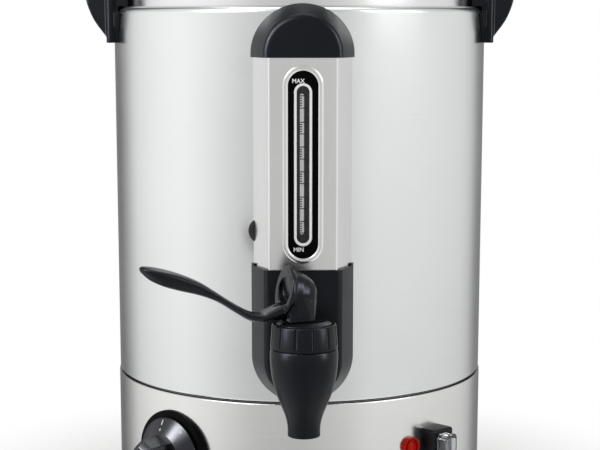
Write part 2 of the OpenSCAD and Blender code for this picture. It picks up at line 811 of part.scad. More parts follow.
// Half-round cap over the top of the gauge
module gauge_cap() {
    color([0.13, 0.13, 0.14]) difference() {
        union() {
            translate([0, 0, cap_z]) round_end(0, 2.6);
            translate([0, 0, cover_top]) linear_extrude(cap_z - cover_top) polygon(skin_plan(0, 2.6));
        }
        difference() {
            union() {
                translate([0, 0, cap_z]) round_end(skin_wall, 1);
                translate([0, 0, cover_top - 1]) linear_extrude(cap_z - cover_top + 1)
                    polygon(skin_plan(skin_wall, 1));
            }
            for (i = [2, 3]) screw_boss(gauge_screw_places()[i]);
        }
        translate([0, 0, cover_top - 1]) linear_extrude(cover_z1 - cover_top + 1 + snug)
            polygon(cover_plan(snug, 1.6));
        core(body_r + snug / 2);
        for (i = [2, 3]) boss_hole(gauge_screw_places()[i]);
    }
}

// Moulded holder that carries the tap and the foot of the cover
module tap_holder() {
    ear_h = 3.4;
    color([0.13, 0.13, 0.14]) difference() {
        union() {
            difference() {
                union() {
                    translate([0, 0, round_z]) mirror([0, 0, 1]) round_end(0, 2.6);
                    translate([0, 0, round_z]) linear_extrude(holder_z - round_z)
                        polygon(skin_plan(0, 2.6));
                }
                translate([0, 0, round_z]) mirror([0, 0, 1]) round_end(skin_wall, 1);
                translate([0, 0, round_z]) linear_extrude(holder_z - round_z + 1)
                    polygon(skin_plan(skin_wall, 1));
            }
            intersection() {
                translate([0, 0, round_z - 40]) linear_extrude(holder_z - round_z + 40)
                    polygon(skin_plan(0.5, 2));
                union() {
                    for (i = [0, 1]) screw_boss(gauge_screw_places()[i]);
                    frontward(0, tap_z()) cylinder(r = 14, h = -skin_y + 5);
                }
            }
            // Ears that hug the cover's lower corners
            difference() {
                translate([0, 0, holder_z - 1]) linear_extrude(ear_h + 1) polygon(skin_plan(0, 2.6));
                translate([-cover_half(-127) + 0.3, -200, holder_z - 2])
                    cube([2 * cover_half(-127) - 0.6, 100, 10]);
            }
        }
        translate([0, 0, cover_z0 - snug]) linear_extrude(20) polygon(cover_plan(snug, 1.6));
        core(body_r + snug / 2);
        for (i = [0, 1]) boss_hole(gauge_screw_places()[i]);
        frontward(0, tap_z()) cylinder(r = shank_r + gap, h = 200);
    }
}

// Black panel with a flange behind the cover's lip
module gauge_panel() {
    color("black") frontward(0, window_z) difference() {
        union() {
            translate([0, 0, -cover_y - 3.4]) slot(window_run, panel_in_r - snug, 2.4);
            translate([0, 0, -cover_y - 3.4]) slot(window_run, panel_in_r + 3, 1.4 - snug);
        }
        translate([0, 0, -cover_y - 5]) slot(ring_run, ring_in_r + ring_w, 10);
    }
}

module window_ring() {
    color("whitesmoke") frontward(0, window_z) translate([0, 0, -cover_y - 3.4]) difference() {
        slot(ring_run, ring_in_r + ring_w - snug / 2, 3);
        translate([0, 0, -1]) slot(ring_run, ring_in_r, 5);
    }
}

module gauge_window() {
    color([0.7, 0.8, 0.85, 0.4]) frontward(0, window_z)
        translate([0, 0, -cover_y - 3.4 - snug / 2 - 0.8]) slot(ring_run + 6, 8, 0.8);
}

module sight_tube() {
    color([0.8, 0.9, 0.95, 0.4]) translate([0, tube_y, lower_fit_z + 4])
        ring(tube_r, tube_r - tube_wall, upper_fit_z - lower_fit_z - 8);
}

// Elbow that joins the sight tube to the tank; the socket points up
module elbow() {
    fit_back = tank_r - 9;
    difference() {
        union() {
            translate([0, tube_y, -7]) cylinder(r = tube_r + 3, h = 20.4);
            rotate([90, 0, 0]) translate([0, 0, fit_back]) cylinder(r = 5, h = -tube_y - fit_back);
            rotate([90, 0, 0]) translate([0, 0, body_r + snug]) cylinder(r = 8, h = 2.4);
        }
        translate([0, tube_y, 0]) cylinder(r = 2.5, h = 20);
        translate([0, tube_y, 3.9]) cylinder(r = tube_r + snug, h = 20);
        translate([0, tube_y, 10]) cylinder(r = tube_r + 1.6, h = 20);
        rotate([90, 0, 0]) translate([0, 0, fit_back - 1]) cylinder(r = 2.4, h = -tube_y - fit_back + 1);
    }
}

module gauge_fittings() {
    color("lightgray") {
        translate([0, 0, lower_fit_z]) elbow();
        translate([0, 0, upper_fit_z]) mirror([0, 0, 1]) elbow();
    }
}

module tube_seals() {
    color("orangered") for (z = [lower_fit_z + 10, upper_fit_z - 13.4])
        translate([0, tube_y, z]) ring(tube_r + 1.5, tube_r + run, 3.4);
}

module fitting_nuts() {
    flat_d = sqrt(pow(tank_r, 2) - pow(9.6, 2)) - 5.2;
    color("lightgray") for (z = [lower_fit_z, upper_fit_z])
        frontward(0, z) translate([0, 0, flat_d]) hex_nut(9.5, 5, 5 + snug / 2);
}

module gauge_screws() {
    color("lightgray") for (p = gauge_screw_places()) {
        seat = sqrt(pow(body_r - sheet_t, 2) - pow(abs(p.x) + m4_head_r, 2)) - snug;
        frontward(p.x, p.y) translate([0, 0, seat]) screw(m4_r, 10, m4_head_r);
    }
}

module shell_grommet() {
    color([0.1, 0.1, 0.11]) difference() {
        facing(grommet_angle, grommet_z) union() {
            translate([0, 0, body_r - 3]) cylinder(r = 5, h = 4);
            translate([0, 0, body_r - 5]) cylinder(r = 6.6, h = 5 - sheet_t - gap);
            rotate_extrude() polygon(rounded([[0, body_r - 2], [grommet_r, body_r - 2],
                [grommet_r, body_r + grommet_t], [0, body_r + grommet_t]], [0, 0, 1.6, 0]));
        }
        difference() {
            core(body_r + snug / 2);
            facing(grommet_angle, grommet_z) cylinder(r = 5, h = body_r + 20);
            core(body_r - sheet_t - snug);
        }
    }
}

// ---- Tap ------------------------------------------------------------------------------

// Outside of the spout as (height above its mouth, radius)
spout_form = [[0, 10.2], [4, 10.1], [7, 10.3], [11, 11.1], [15, 12.4], [21, 14.9], [27, 17.3],
    [33, 18.9], [38.5, 20.1], [44.5, 20.8], [50, 21.1], [54, 20.9]];

module tap_body() {
    outside = [for (i = [0:3 * (len(spout_form) - 1)])
        let(p = along(spout_form, i / 3)) [p.y, spout_z + p.x]];
    color([0.12, 0.12, 0.13]) difference() {
        union() {
            translate([0, tap_y, 0]) rotate_extrude() polygon(concat(
                [[0, spout_z]], outside,
                [[collar_low_r - 0.4, body_top], [neck_r, body_top], [neck_r, neck_top],
                 [0, neck_top]]));
            // Horizontal shank, its flange against the holder and its threaded end
            frontward(0, tap_z()) {
                translate([0, 0, -shank_end_y]) cylinder(r = shank_r, h = shank_end_y - tap_y);
                translate([0, 0, -skin_y + snug]) cylinder(r = shank_flange_r, h = 3);
                translate([0, 0, -skin_y + 3]) cylinder(r = 12.4, h = tap_reach - cover_d - 4);
            }
        }
        translate([0, tap_y, 0]) rotate_extrude() polygon(
            [[0, spout_z - 1], [spout_bore_r, spout_z - 1], [spout_bore_r, seat_z],
             [seal_r + 1, seat_z], [seal_r + 1.2, seat_z + 1], [chamber_r, seat_z + 9],
             [chamber_r, neck_top + 1], [0, neck_top + 1]]);
        frontward(0, tap_z()) translate([0, 0, -shank_end_y - 1])
            cylinder(r = shank_bore_r, h = shank_end_y - tap_y + 1);
    }
}

// Screwed collar with grip grooves and a recess for the swivel plate
module tap_collar() {
    wall_top = neck_top + snug;
    color([0.11, 0.11, 0.12]) translate([0, tap_y, 0]) difference() {
        rotate_extrude() polygon(concat(
            [[neck_r + snug, collar_z0], [collar_low_r, collar_z0]],
            fillet([collar_low_r, collar_z0], [collar_top_r, collar_z1],
                [swivel_r + gap, collar_z1], 1),
            [[swivel_r + gap, collar_z1], [swivel_r + gap, plate_floor],
             [hub_r + run, plate_floor], [hub_r + run, wall_top + 1.6],
             [stem_r + gap, wall_top + 1.6], [stem_r + gap, wall_top],
             [neck_r + snug, wall_top]]));
        for (i = [0:groove_count - 1]) rotate([0, 0, (i + 0.5) * 360 / groove_count])
            translate([collar_low_r + 0.3, 0, collar_z0 + 1.8])
                rotate([0, -4.4, 0]) cylinder(r = 1.2, h = 20, $fn = 24);
    }
}

// Plate that turns with the lever and takes the heel of the lever
module swivel_plate() {
    wall_top = neck_top + snug;
    color([0.14, 0.14, 0.15]) translate([0, tap_y, 0]) rotate_extrude() polygon(rounded(
        [[stem_r + run, wall_top + 1.6 + gap], [hub_r, wall_top + 1.6 + gap],
         [hub_r, plate_floor + snug], [swivel_r, plate_floor + snug],
         [swivel_r, plate_top - 1.7], [swivel_r - 3.6, plate_top], [stem_r + run, plate_top]],
        [0, 0, 0, 0, 0.4, 3, 0]));
}

eye_r = 4;
eye_w = 5.6;

module tap_stem() {
    color("gainsboro") difference() {
        union() {
            translate([0, tap_y, seat_z + 2]) cylinder(r = stem_r, h = pin_z - seat_z - 2);
            translate([0, tap_y, seat_z + seal_h + snug]) cylinder(r = coil_r + 1.2, h = 1.2);
            lever_frame() translate([0, eye_w / 2, pin_z]) rotate([90, 0, 0])
                cylinder(r = eye_r, h = eye_w);
        }
        lever_frame() translate([0, 10, pin_z]) rotate([90, 0, 0])
            cylinder(r = pin_r + run, h = 20);
    }
}

// Soft cone that closes the seat
module tap_seal() {
    color("whitesmoke") translate([0, tap_y, 0]) difference() {
        rotate_extrude() polygon(rounded(
            [[0, seat_z + snug], [seal_r - 0.6, seat_z + snug], [seal_r, seat_z + 2.4],
             [stem_r + 2, seat_z + seal_h], [0, seat_z + seal_h]], [0, 0.6, 0.6, 0, 0]));
        translate([0, 0, seat_z + 2 - snug]) cylinder(r = stem_r + snug / 2, h = 20);
    }
}

// Compression spring between the stem's collar and the screwed collar
module tap_spring() {
    z0 = seat_z + seal_h + snug + 1.2 + wire_r + snug;
    z1 = neck_top + snug - wire_r - snug;
    steps = 14 * spring_turns;
    path = [for (i = [0:steps])
        let(a = 360 * spring_turns * i / steps)
        [coil_r * cos(a), coil_r * sin(a), z0 + (z1 - z0) * i / steps]];
    color("silver") translate([0, tap_y, 0]) sweep(path, wire_r, 6, [0, 0, 1]);
}

// Lever stations: distance out, height of top and of underside above the pin, half width
lever_stations = [
    [9, 1, -9, 8.2], [16, 0.4, -9.9, 8.4], [22, -2.3, -9.9, 8.4], [28, -4.8, -10.3, 8.2],
    [35, -3.4, -9.3, 7.8], [44, 1.5, -3.9, 7.4], [55, 8.8, 3.3, 7.4], [66, 16.1, 7.9, 8],
    [78, 21.6, 11.2, 8.8], [88, 24.9, 14.4, 9.2], [96, 26.7, 18.4, 8.2], [100.4, 27, 22.2, 5.6],
    [102.2, 26.4, 24.2, 2.2]];

module lever_handle() {
    sides = 20;
    steps = 3 * (len(lever_stations) - 1);
    rings = [for (i = [0:steps])
        let(p = along(lever_stations, i / 3),
            edge = p[1] - 0.28 * (p[1] - p[2]))
        for (j = [0:sides - 1])
            let(a = 360 * j / sides, dz = sin(a) > 0 ? p[1] - edge : edge - p[2])
            [p[0], -p[3] * cos(a), pin_z + edge + dz * sin(a)]];
    loft(rings, steps + 1, sides);
}

hood_s = 12.7;
hood_r = 15.5;
hood_tilt = 10.7;

// Hood over the stem's eye, a scoop facing the handle, and the swept handle
module tap_lever() {
    color([0.1, 0.1, 0.11]) lever_frame() difference() {
        union() {
            lever_handle();
            translate([hood_s, 0, pin_z + 8]) rotate([0, -90 - hood_tilt, 0]) rotate_extrude()
                polygon(concat([[0, -0.4]], fillet([0, -0.4], [hood_r, -0.4], [hood_r, 3], 0.8),
                    [[hood_r - 0.6, 2.2], [13, 3.4], [12.3, 8], [10.9, 12.7], [8.8, 16.6],
                     [6, 19], [3, 20.2], [0, 20.6]]));
            translate([0, 0, plate_top + gap + 0.1]) linear_extrude(13) polygon(rounded(
                [[-5, -10.5], [12.5, -10.5], [12.5, 10.5], [-5, 10.5]], [5, 2, 2, 5]));
        }
        // Room for the stem and its eye
        translate([-4.7, -eye_w / 2 - gap, plate_top - 1]) cube([9.4, eye_w + 2 * gap, 11 + 5.8]);
        translate([-4.7, -stem_r - 0.4, plate_top - 1]) cube([12, 2 * stem_r + 0.8, 7]);
        // Scoop in the hood's face
        translate([hood_s + 4.6, 0, pin_z + 9.5]) rotate([0, hood_tilt - 4, 0]) scoop();
        translate([0, 7 - 1.2, pin_z]) rotate([90, 0, 0]) cylinder(r = pin_r + run / 2, h = 30);
        // The plate's and collar's room under the hood
        translate([0, 0, plate_top - 20]) cylinder(r = swivel_r + 5, h = 20 + gap);
    }
}

// Pointed-oval pocket, 8 mm deep
module scoop() {
    translate([-8, 0, 0]) rotate([0, 90, 0]) linear_extrude(20) polygon(rounded(
        [[-7.5, 9.5], [-4.5, -6], [1, -11.5], [7.5, -8.5], [11, 1], [8, 9.5], [1, 12.2]],
        [1.2, 7, 6, 6, 6, 6, 7]));
}

module lever_pin() {
    color("silver") lever_frame() translate([0, 7 - 1.2 - snug, pin_z]) rotate([90, 0, 0])
        cylinder(r = pin_r, h = 13);
}

// Bush that keeps the tank's wall and the shell apart round the shank
module tap_spacer() {
    color("dimgray") difference() {
        frontward(0, tap_z()) translate([0, 0, tank_r - 6]) ring(15, shank_r + gap, body_r - tank_r + 12);
        core(tank_r + sheet_t + snug / 2);
        difference() {
            translate([0, 0, -20]) cylinder(r = body_r + 60, h = rim_z + 200);
            core(body_r - sheet_t - snug / 2);
        }
    }
}

// Soft washer between the nut and the tank's wall
module tap_gasket() {
    color("whitesmoke") intersection() {
        frontward(0, tap_z()) translate([0, 0, tank_r - 3.2]) ring(16, shank_r + gap, 10);
        core(tank_r - snug);
    }
}

module tap_nut() {
    color("lightgray") frontward(0, tap_z()) translate([0, 0, tank_r - 3.2 - snug - 5.4])
        hex_nut(16, 5.4, shank_r + snug / 2);
}

// ---- Handles --------------------------------------------------------------------------

function handle_screw_y() = 15;
function handle_screw_z() = rim_z - 14;

// Side handle on +X: a grip skin, two cheeks and a pad that hugs the shell
module handle() {
    out = body_r + handle_reach;
    arc_r = 34.7;
    grip = rounded([[body_r - 14, -24.2], [body_r + 3.9, -24.2], [out, 0.7], [out, 25.5],
        [body_r - 14, 27]], [0, 1.5, arc_r, 12, 0], 10);
    finger = rounded([[body_r + 6.2, -40], [out + 8, -40], [out - 4.2, -5.4],
        [out - 7.3, -3.6], [out - handle_wall, 3.9], [out - handle_wall, 22.8],
        [body_r + 6.2, 23.4]], [0, 0, 1, 0, arc_r - handle_wall, 5.5, 3.8], 10);
    plan = rounded([[body_r - 30, -handle_half - 4], [body_r, -handle_half - 2],
        [out, -handle_half + 4], [out, handle_half - 4], [body_r, handle_half + 2],
        [body_r - 30, handle_half + 4]], [0, 6, 12, 12, 6, 0], 8);
    difference() {
        union() {
            intersection() {
                translate([0, 60, rim_z]) rotate([90, 0, 0]) linear_extrude(120) polygon(grip);
                translate([0, 0, rim_z - 40]) linear_extrude(90) polygon(plan);
            }
            // Pad on the shell
            intersection() {
                translate([0, 0, rim_z - 24.2]) cylinder(r = body_r + 3.2, h = 24.2 - rim_round, $fn = 180);
                translate([body_r - 60, 0, rim_z]) rotate([90, 0, 90]) linear_extrude(80) polygon(rounded(
                    [[-47, 5], [-47, -4], [-27, -24.2], [27, -24.2], [47, -4], [47, 5]],
                    [0, 3, 5, 5, 3, 0]));
            }
            for (s = [-1, 1]) translate([body_r + 5.4, s * (handle_half + 0.4), rim_z - 22])
                cylinder(r = 2.4, h = 44);
        }
        translate([0, handle_half - handle_wall, rim_z]) rotate([90, 0, 0])
            linear_extrude(2 * (handle_half - handle_wall)) polygon(finger);
        translate([0, handle_half - 4, rim_z]) rotate([90, 0, 0])
            linear_extrude(2 * (handle_half - 4)) polygon(
                [[body_r - 3.2, -1], [body_r + 3, -1], [body_r + 3, 23.4], [body_r - 3.2, 23.8]]);
        translate([0, 0, -1]) cylinder(r = body_r + snug, h = rim_z + 1 + gap, $fn = 180);
        cylinder(r = seat_r + 1, h = rim_z + 60, $fn = 180);
        for (y = [-1, 1]) translate([body_r - 2, y * handle_screw_y(), handle_screw_z()])
            rotate([0, 90, 0]) cylinder(r = m4_r + snug / 2, h = 7.4);
    }
}

module handle_right() {
    color([0.1, 0.1, 0.11]) handle();
}

module handle_left() {
    color([0.1, 0.1, 0.11]) mirror([1, 0, 0]) handle();
}

module handle_screws() {
    seat = sqrt(pow(body_r - sheet_t, 2) - pow(handle_screw_y() + m4_head_r, 2)) - snug;
    color("lightgray") for (s = [0, 180], y = [-1, 1]) rotate([0, 0, s])
        translate([seat, y * handle_screw_y(), handle_screw_z()]) rotate([0, 90, 0])
            screw(m4_r, 7, m4_head_r);
}

// ---- Lid ------------------------------------------------------------------------------

shoulder_z = rim_z + lid_shoulder;
dome_r = lid_r - 12;
dome_z = shoulder_z + 1.5;
dome_top = shoulder_z + dome_rise;
dome_curve = (pow(dome_r, 2) + pow(dome_top - dome_z, 2)) / (2 * (dome_top - dome_z));

module lid() {
    dome = [for (i = [0:12]) let(r = dome_r * (1 - i / 12))
        [r, dome_top - dome_curve + sqrt(pow(dome_curve, 2) - pow(r, 2))]];
    edge = rounded_path([[lid_r, ledge_z + gap], [lid_r, shoulder_z], [dome_r + 3, shoulder_z],
        dome[0]], [0, 4, 1, 0]);
    color("whitesmoke") difference() {
        rotate_extrude($fn = 180) polygon([for (p = sheet(
            concat(edge, [for (i = [1:12]) dome[i]]), sheet_t)) [max(p.x, 0), p.y]]);
        translate([0, 0, dome_top - 20]) cylinder(r = m5_r + hole_gap, h = 40);
        for (a = [-12, 0, 12]) rotate([0, 0, a]) translate([0, 60, dome_top - 40])
            cylinder(r = 2.2, h = 60);
    }
}

module lid_knob() {
    color("black") translate([0, 0, dome_top]) difference() {
        rotate_extrude() polygon(concat(
            [[0, 0], [13, 0]], fillet([13, 0], [12.4, 3.4], [9, 6], 1.6),
            fillet([12.4, 3.4], [8.6, lid_knob_h * 0.36], [lid_knob_r - 4, lid_knob_h - 9], 6),
            fillet([8.6, lid_knob_h * 0.36], [lid_knob_r, lid_knob_h - 7.5], [lid_knob_r, lid_knob_h], 3),
            fillet([lid_knob_r, lid_knob_h - 7.5], [lid_knob_r, lid_knob_h - 1], [0, lid_knob_h], 5),
            [[0, lid_knob_h]]));
        translate([0, 0, -1]) cylinder(r = m5_r + snug / 2, h = 14);
    }
}

module lid_knob_screw() {
    color("lightgray") translate([0, 0, dome_top - sheet_t - snug]) screw(m5_r, 12, m5_head_r);
}

base_housing();
bottom_plate();
feet();
foot_screws();
base_screws();
hex_nuts();
outer_shell();
inner_tank();
heater_plate();
heating_element();
thermostat_body();
thermostat_capillary();
thermostat_screws();
knob_shaft();
control_knob();
knob_plate();
safety_cutout();
reset_button();
reset_bezel();
terminal_block();
cable_gland();
gland_nut();
pilot_lens();
pilot_lamp_body();
switch_housing();
switch_rocker();
switch_cap();
gauge_cover();
gauge_cap();
tap_holder();
gauge_panel();
window_ring();
gauge_window();
sight_tube();
gauge_fittings();
tube_seals();
fitting_nuts();
gauge_screws();
shell_grommet();
tap_body();
tap_collar();
swivel_plate();
tap_stem();
tap_seal();
tap_spring();
tap_lever();
lever_pin();
tap_spacer();
tap_gasket();
tap_nut();
handle_left();
handle_right();
handle_screws();
lid();
lid_knob();
lid_knob_screw();
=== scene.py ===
"""Looks of a free-standing hot water urn: brushed steel drum, gauge column, lever tap and controls.

Every form is built in millimetres in the part's own frame (the tap faces -Y, +Z is up, the origin
is on the body's axis at table level) and turned to metres when it becomes an object.
"""

import json
import logging
import math
from dataclasses import dataclass
from enum import Enum
from typing import Callable, Iterable, Sequence

import bmesh
import bpy
from mathutils import Matrix, Vector

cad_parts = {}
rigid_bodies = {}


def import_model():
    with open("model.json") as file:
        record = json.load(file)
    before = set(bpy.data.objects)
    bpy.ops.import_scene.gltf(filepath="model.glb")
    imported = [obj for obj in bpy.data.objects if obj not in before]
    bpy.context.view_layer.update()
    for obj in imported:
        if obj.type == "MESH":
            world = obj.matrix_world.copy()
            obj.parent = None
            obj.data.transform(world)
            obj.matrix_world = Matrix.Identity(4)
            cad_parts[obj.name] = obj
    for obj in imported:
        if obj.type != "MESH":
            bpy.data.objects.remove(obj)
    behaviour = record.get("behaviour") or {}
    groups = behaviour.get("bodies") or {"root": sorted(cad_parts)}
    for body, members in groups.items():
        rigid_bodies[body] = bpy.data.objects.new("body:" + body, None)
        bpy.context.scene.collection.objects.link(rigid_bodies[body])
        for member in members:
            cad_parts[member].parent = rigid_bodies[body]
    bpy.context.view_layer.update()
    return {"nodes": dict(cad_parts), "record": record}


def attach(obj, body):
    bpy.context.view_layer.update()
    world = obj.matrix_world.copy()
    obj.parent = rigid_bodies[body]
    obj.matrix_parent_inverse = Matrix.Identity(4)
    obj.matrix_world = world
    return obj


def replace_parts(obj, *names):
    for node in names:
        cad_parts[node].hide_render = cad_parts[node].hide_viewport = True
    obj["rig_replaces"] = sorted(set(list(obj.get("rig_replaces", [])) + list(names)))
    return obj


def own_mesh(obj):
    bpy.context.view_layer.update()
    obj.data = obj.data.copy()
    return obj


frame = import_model()
SLOTS = {part["node"]: part["material_slot"] for part in frame["record"]["subparts"]}

logging.basicConfig(level=logging.INFO, format="%(message)s")
log = logging.getLogger("urn")

# Points closer than this, in millimetres, become one; edges duller than this angle aren't rounded
WELD = 1e-3
SHARP = math.radians(30)
# How much bolder than plain the type is, as a share of its size
BOLDER = 0.02
# A quarter turn about each axis
TIP_X, TIP_Y, TIP_Z = (Matrix.Rotation(math.pi / 2, 4, axis) for axis in "XYZ")

Corner = tuple[float, float, float]
Value = float | tuple[float, ...] | bpy.types.NodeSocket


# ---- Materials ------------------------------------------------------------------------


def linear(colour: str) -> tuple[float, float, float, float]:
    """Turn an sRGB hex colour into the linear values that shaders take.

    Args:
        colour: Six hex digits after a hash sign.

    Returns:
        Red, green, blue and an alpha of 1.
    """
    parts = [int(colour[i:i + 2], 16) / 255 for i in (1, 3, 5)]
    red, green, blue = (c / 12.92 if c <= 0.04045 else ((c + 0.055) / 1.055) ** 2.4 for c in parts)
    return red, green, blue, 1.0


def add_node(
    tree: bpy.types.NodeTree,
    kind: str,
    inputs: dict[str | int, Value] | None = None,
    **settings: object,
) -> bpy.types.Node:
    """Add a node, set it up and feed its inputs.

    Args:
        tree: The tree that takes the node.
        kind: The node's type name.
        inputs: A value, or the socket to link, for each input by name or number.
        settings: The node's own properties.

    Returns:
        The new node.
    """
    node = tree.nodes.new(kind)
    for name, value in settings.items():
        setattr(node, name, value)
    for key, value in (inputs or {}).items():
        if isinstance(value, bpy.types.NodeSocket):
            tree.links.new(value, node.inputs[key])
        else:
            node.inputs[key].default_value = value
    return node


def set_stops(ramp: bpy.types.Node, stops: Sequence[tuple[float, float]]) -> bpy.types.Node:
    """Give a colour ramp its grey stops.

    Args:
        ramp: The ramp's node.
        stops: Position and grey value of each stop, in rising order.

    Returns:
        The same node.
    """
    elements = ramp.color_ramp.elements
    while len(elements) < len(stops):
        elements.new(1.0)
    for element, (position, grey) in zip(elements, stops):
        element.position = position
        element.color = (grey, grey, grey, 1.0)
    return ramp


def work_out(tree: bpy.types.NodeTree, operation: str, *values: Value) -> bpy.types.NodeSocket:
    """Add a math node that works on its values, and return its result."""
    return add_node(tree, "ShaderNodeMath", dict(enumerate(values)), operation=operation).outputs[0]


def bare_tree(owner: bpy.types.Material | bpy.types.World) -> bpy.types.NodeTree:
    """Give a material or a world its node tree, with nothing in it yet."""
    owner.use_nodes = True
    owner.node_tree.nodes.clear()
    return owner.node_tree


def add_object(name: str, data: bpy.types.ID) -> bpy.types.Object:
    """Make an object of its data and link it into the scene."""
    made = bpy.data.objects.new(name, data)
    bpy.context.scene.collection.objects.link(made)
    return made


class Grain(Enum):
    """Which way a surface's fine lines run, as the pattern's stretch along X, Y and Z."""

    NONE = (1.0, 1.0, 1.0)
    ROUND = (0.012, 0.012, 1.0)
    UPRIGHT = (1.0, 1.0, 0.012)


@dataclass(frozen=True)
class Finish:
    """A surface: its colour, how it scatters light, and the fine structure of how it was made.

    Lengths are in millimetres: mark_mm is the spacing of the finest marks, relief_mm their depth,
    and cloud_mm the size of the slow changes in gloss that handling leaves. At height seam_mm, if
    that is given, a dark band of painted shade darkens the seam, for the shadow in its gap.
    """

    name: str
    colour: str
    roughness: float
    metallic: float = 0.0
    ior: float = 1.5
    grain: Grain = Grain.NONE
    mark_mm: float = 0.5
    relief_mm: float = 0.01
    cloud_mm: float = 20.0
    spread: float = 0.05
    mottle: float = 0.1
    transmission: float = 0.0
    sheen: float = 0.0
    subsurface: float = 0.0
    specular: float = 0.5
    tint: str = "#FFFFFF"
    seam_mm: float = 0.0
    # Where the sum of marks and clouds, two noises of about 0.5, turns rough and turns light
    rough_span: tuple[float, float] = (0.7, 1.3)
    light_span: tuple[float, float] = (0.75, 1.1)
    # The painted shade's half width at the seam in metres, where it is full and where it ends, and how
    # dark it is
    painted_shade_span: tuple[float, float] = (0.0005, 0.0008)
    painted_shade: float = 0.93

    def material(self) -> bpy.types.Material:
        """Make the material, or find it where it was made before.

        Returns:
            The material.
        """
        made = bpy.data.materials.get(self.name)
        if made:
            return made
        made = bpy.data.materials.new(self.name)
        tree = bare_tree(made)
        shader = add_node(tree, "ShaderNodeBsdfPrincipled", {
            "Metallic": self.metallic, "IOR": self.ior, "Transmission Weight": self.transmission,
            "Sheen Weight": self.sheen, "Subsurface Weight": self.subsurface,
            "Subsurface Scale": 0.002, "Specular IOR Level": self.specular,
            "Specular Tint": linear(self.tint),
        })
        add_node(tree, "ShaderNodeOutputMaterial", {"Surface": shader.outputs[0]})
        self.pattern(tree, shader)
        return made

    def pattern(self, tree: bpy.types.NodeTree, shader: bpy.types.Node) -> None:
        """Feed the shader's colour, roughness and bump from the finish's own structure.

        Args:
            tree: The material's tree.
            shader: The shader to feed.
        """
        place = add_node(tree, "ShaderNodeTexCoord").outputs["Object"]
        stretched = add_node(tree, "ShaderNodeVectorMath", {0: place, 1: self.grain.value},
                             operation="MULTIPLY").outputs[0]
        marks = add_node(tree, "ShaderNodeTexNoise", {
            "Vector": stretched, "Scale": 1000 / self.mark_mm, "Detail": 2.0, "Roughness": 0.6,
        }).outputs[0]
        clouds = add_node(tree, "ShaderNodeTexNoise", {
            "Vector": place, "Scale": 1000 / self.cloud_mm, "Detail": 3.0, "Roughness": 0.55,
        }).outputs[0]
        both = work_out(tree, "ADD", marks, clouds)
        low, high = self.rough_span
        rough = add_node(tree, "ShaderNodeMapRange", {
            0: both, 1: low, 2: high, 3: max(self.roughness - self.spread, 0.02),
            4: self.roughness + self.spread,
        }).outputs[0]
        tree.links.new(rough, shader.inputs["Roughness"])
        light = linear(self.colour)
        dark = tuple(c * (1 - 2 * self.mottle) for c in light[:3]) + (1.0,)
        low, high = self.light_span
        spots = add_node(tree, "ShaderNodeMapRange", {0: both, 1: low, 2: high}).outputs[0]
        tint = add_node(tree, "ShaderNodeMix", {0: spots, 6: dark, 7: light},
                        data_type="RGBA", clamp_factor=True)
        # A dark band at the seam's height is painted shade for the shadow in the gap between base and
        # drum.
        if self.seam_mm:
            height = add_node(tree, "ShaderNodeSeparateXYZ", {0: place}).outputs[2]
            away = work_out(tree, "ABSOLUTE", work_out(tree, "SUBTRACT", height, self.seam_mm / 1000))
            low, high = self.painted_shade_span
            painted_shade_mask = add_node(tree, "ShaderNodeMapRange",
                            {0: away, 1: low, 2: high, 3: self.painted_shade, 4: 0.0}).outputs[0]
            tint = add_node(tree, "ShaderNodeMix", {
                0: painted_shade_mask, 6: tint.outputs[2], 7: linear("#0A0A0B")}, data_type="RGBA")
        tree.links.new(tint.outputs[2], shader.inputs["Base Color"])
        bump = add_node(tree, "ShaderNodeBump", {
            "Height": marks, "Strength": 1.0, "Distance": self.relief_mm / 1000,
        })
        tree.links.new(bump.outputs[0], shader.inputs["Normal"])


# Height of the seam between base and drum, where a band of painted shade darkens it.
SEAM_MM = 96.2

# Stainless sheet, belt-ground round the drum: hairlines stretch every highlight up and down.
# Real hairlines are 0.05 mm apart, drawn at 0.35 mm so that they show.
SHELL_STEEL = Finish("stainless_sheet_belt_ground", "#E1E2E2", 0.23, 1.0, grain=Grain.ROUND,
                     mark_mm=0.35, relief_mm=0.0015, cloud_mm=60, spread=0.035, mottle=0.015,
                     seam_mm=SEAM_MM)
# The base's sheet is spun before grinding, a shade darker than the shell.
BASE_STEEL = Finish("stainless_sheet_spun", "#DDDDDC", 0.22, 1.0, grain=Grain.ROUND, mark_mm=0.4,
                    relief_mm=0.0015, cloud_mm=45, spread=0.035, mottle=0.02, seam_mm=SEAM_MM)
# The folded gauge cover is ground along its length: its lines run up and down.
COVER_STEEL = Finish("stainless_cover_ground_lengthwise", "#E3E3E2", 0.24, 1.0,
                     grain=Grain.UPRIGHT, mark_mm=0.35, relief_mm=0.0015, cloud_mm=40, spread=0.04,
                     mottle=0.015)
# The tank's inside keeps the mill's dull rolled finish.
TANK_STEEL = Finish("stainless_tank_rolled", "#C9C8C4", 0.32, 1.0, grain=Grain.ROUND, mark_mm=0.6,
                    relief_mm=0.002, cloud_mm=70, mottle=0.04)
# Galvanised sheet: a cloudy, spangled zinc skin.
ZINC_SHEET = Finish("galvanised_sheet", "#A9ACAE", 0.42, 1.0, mark_mm=4, relief_mm=0.003,
                    cloud_mm=14, spread=0.1)
# Bright zinc plate on screws, nuts and pins: smooth with a faint blue cast.
ZINC_PLATE = Finish("zinc_plated_steel", "#C4C8CC", 0.28, 1.0, mark_mm=0.6, relief_mm=0.003,
                    cloud_mm=4, spread=0.08, mottle=0.06)
# Die-cast aluminium: dull grey with a fine sandy skin.
CAST_ALUMINIUM = Finish("aluminium_die_cast", "#9A9B9C", 0.5, 1.0, mark_mm=0.7, relief_mm=0.03,
                        spread=0.1)
# Nickel-alloy element sheath, oxidised to a dull blue-grey.
ELEMENT_SHEATH = Finish("element_sheath_oxidised", "#5D6064", 0.48, 1.0, mark_mm=0.8, cloud_mm=12,
                        spread=0.12, mottle=0.2)
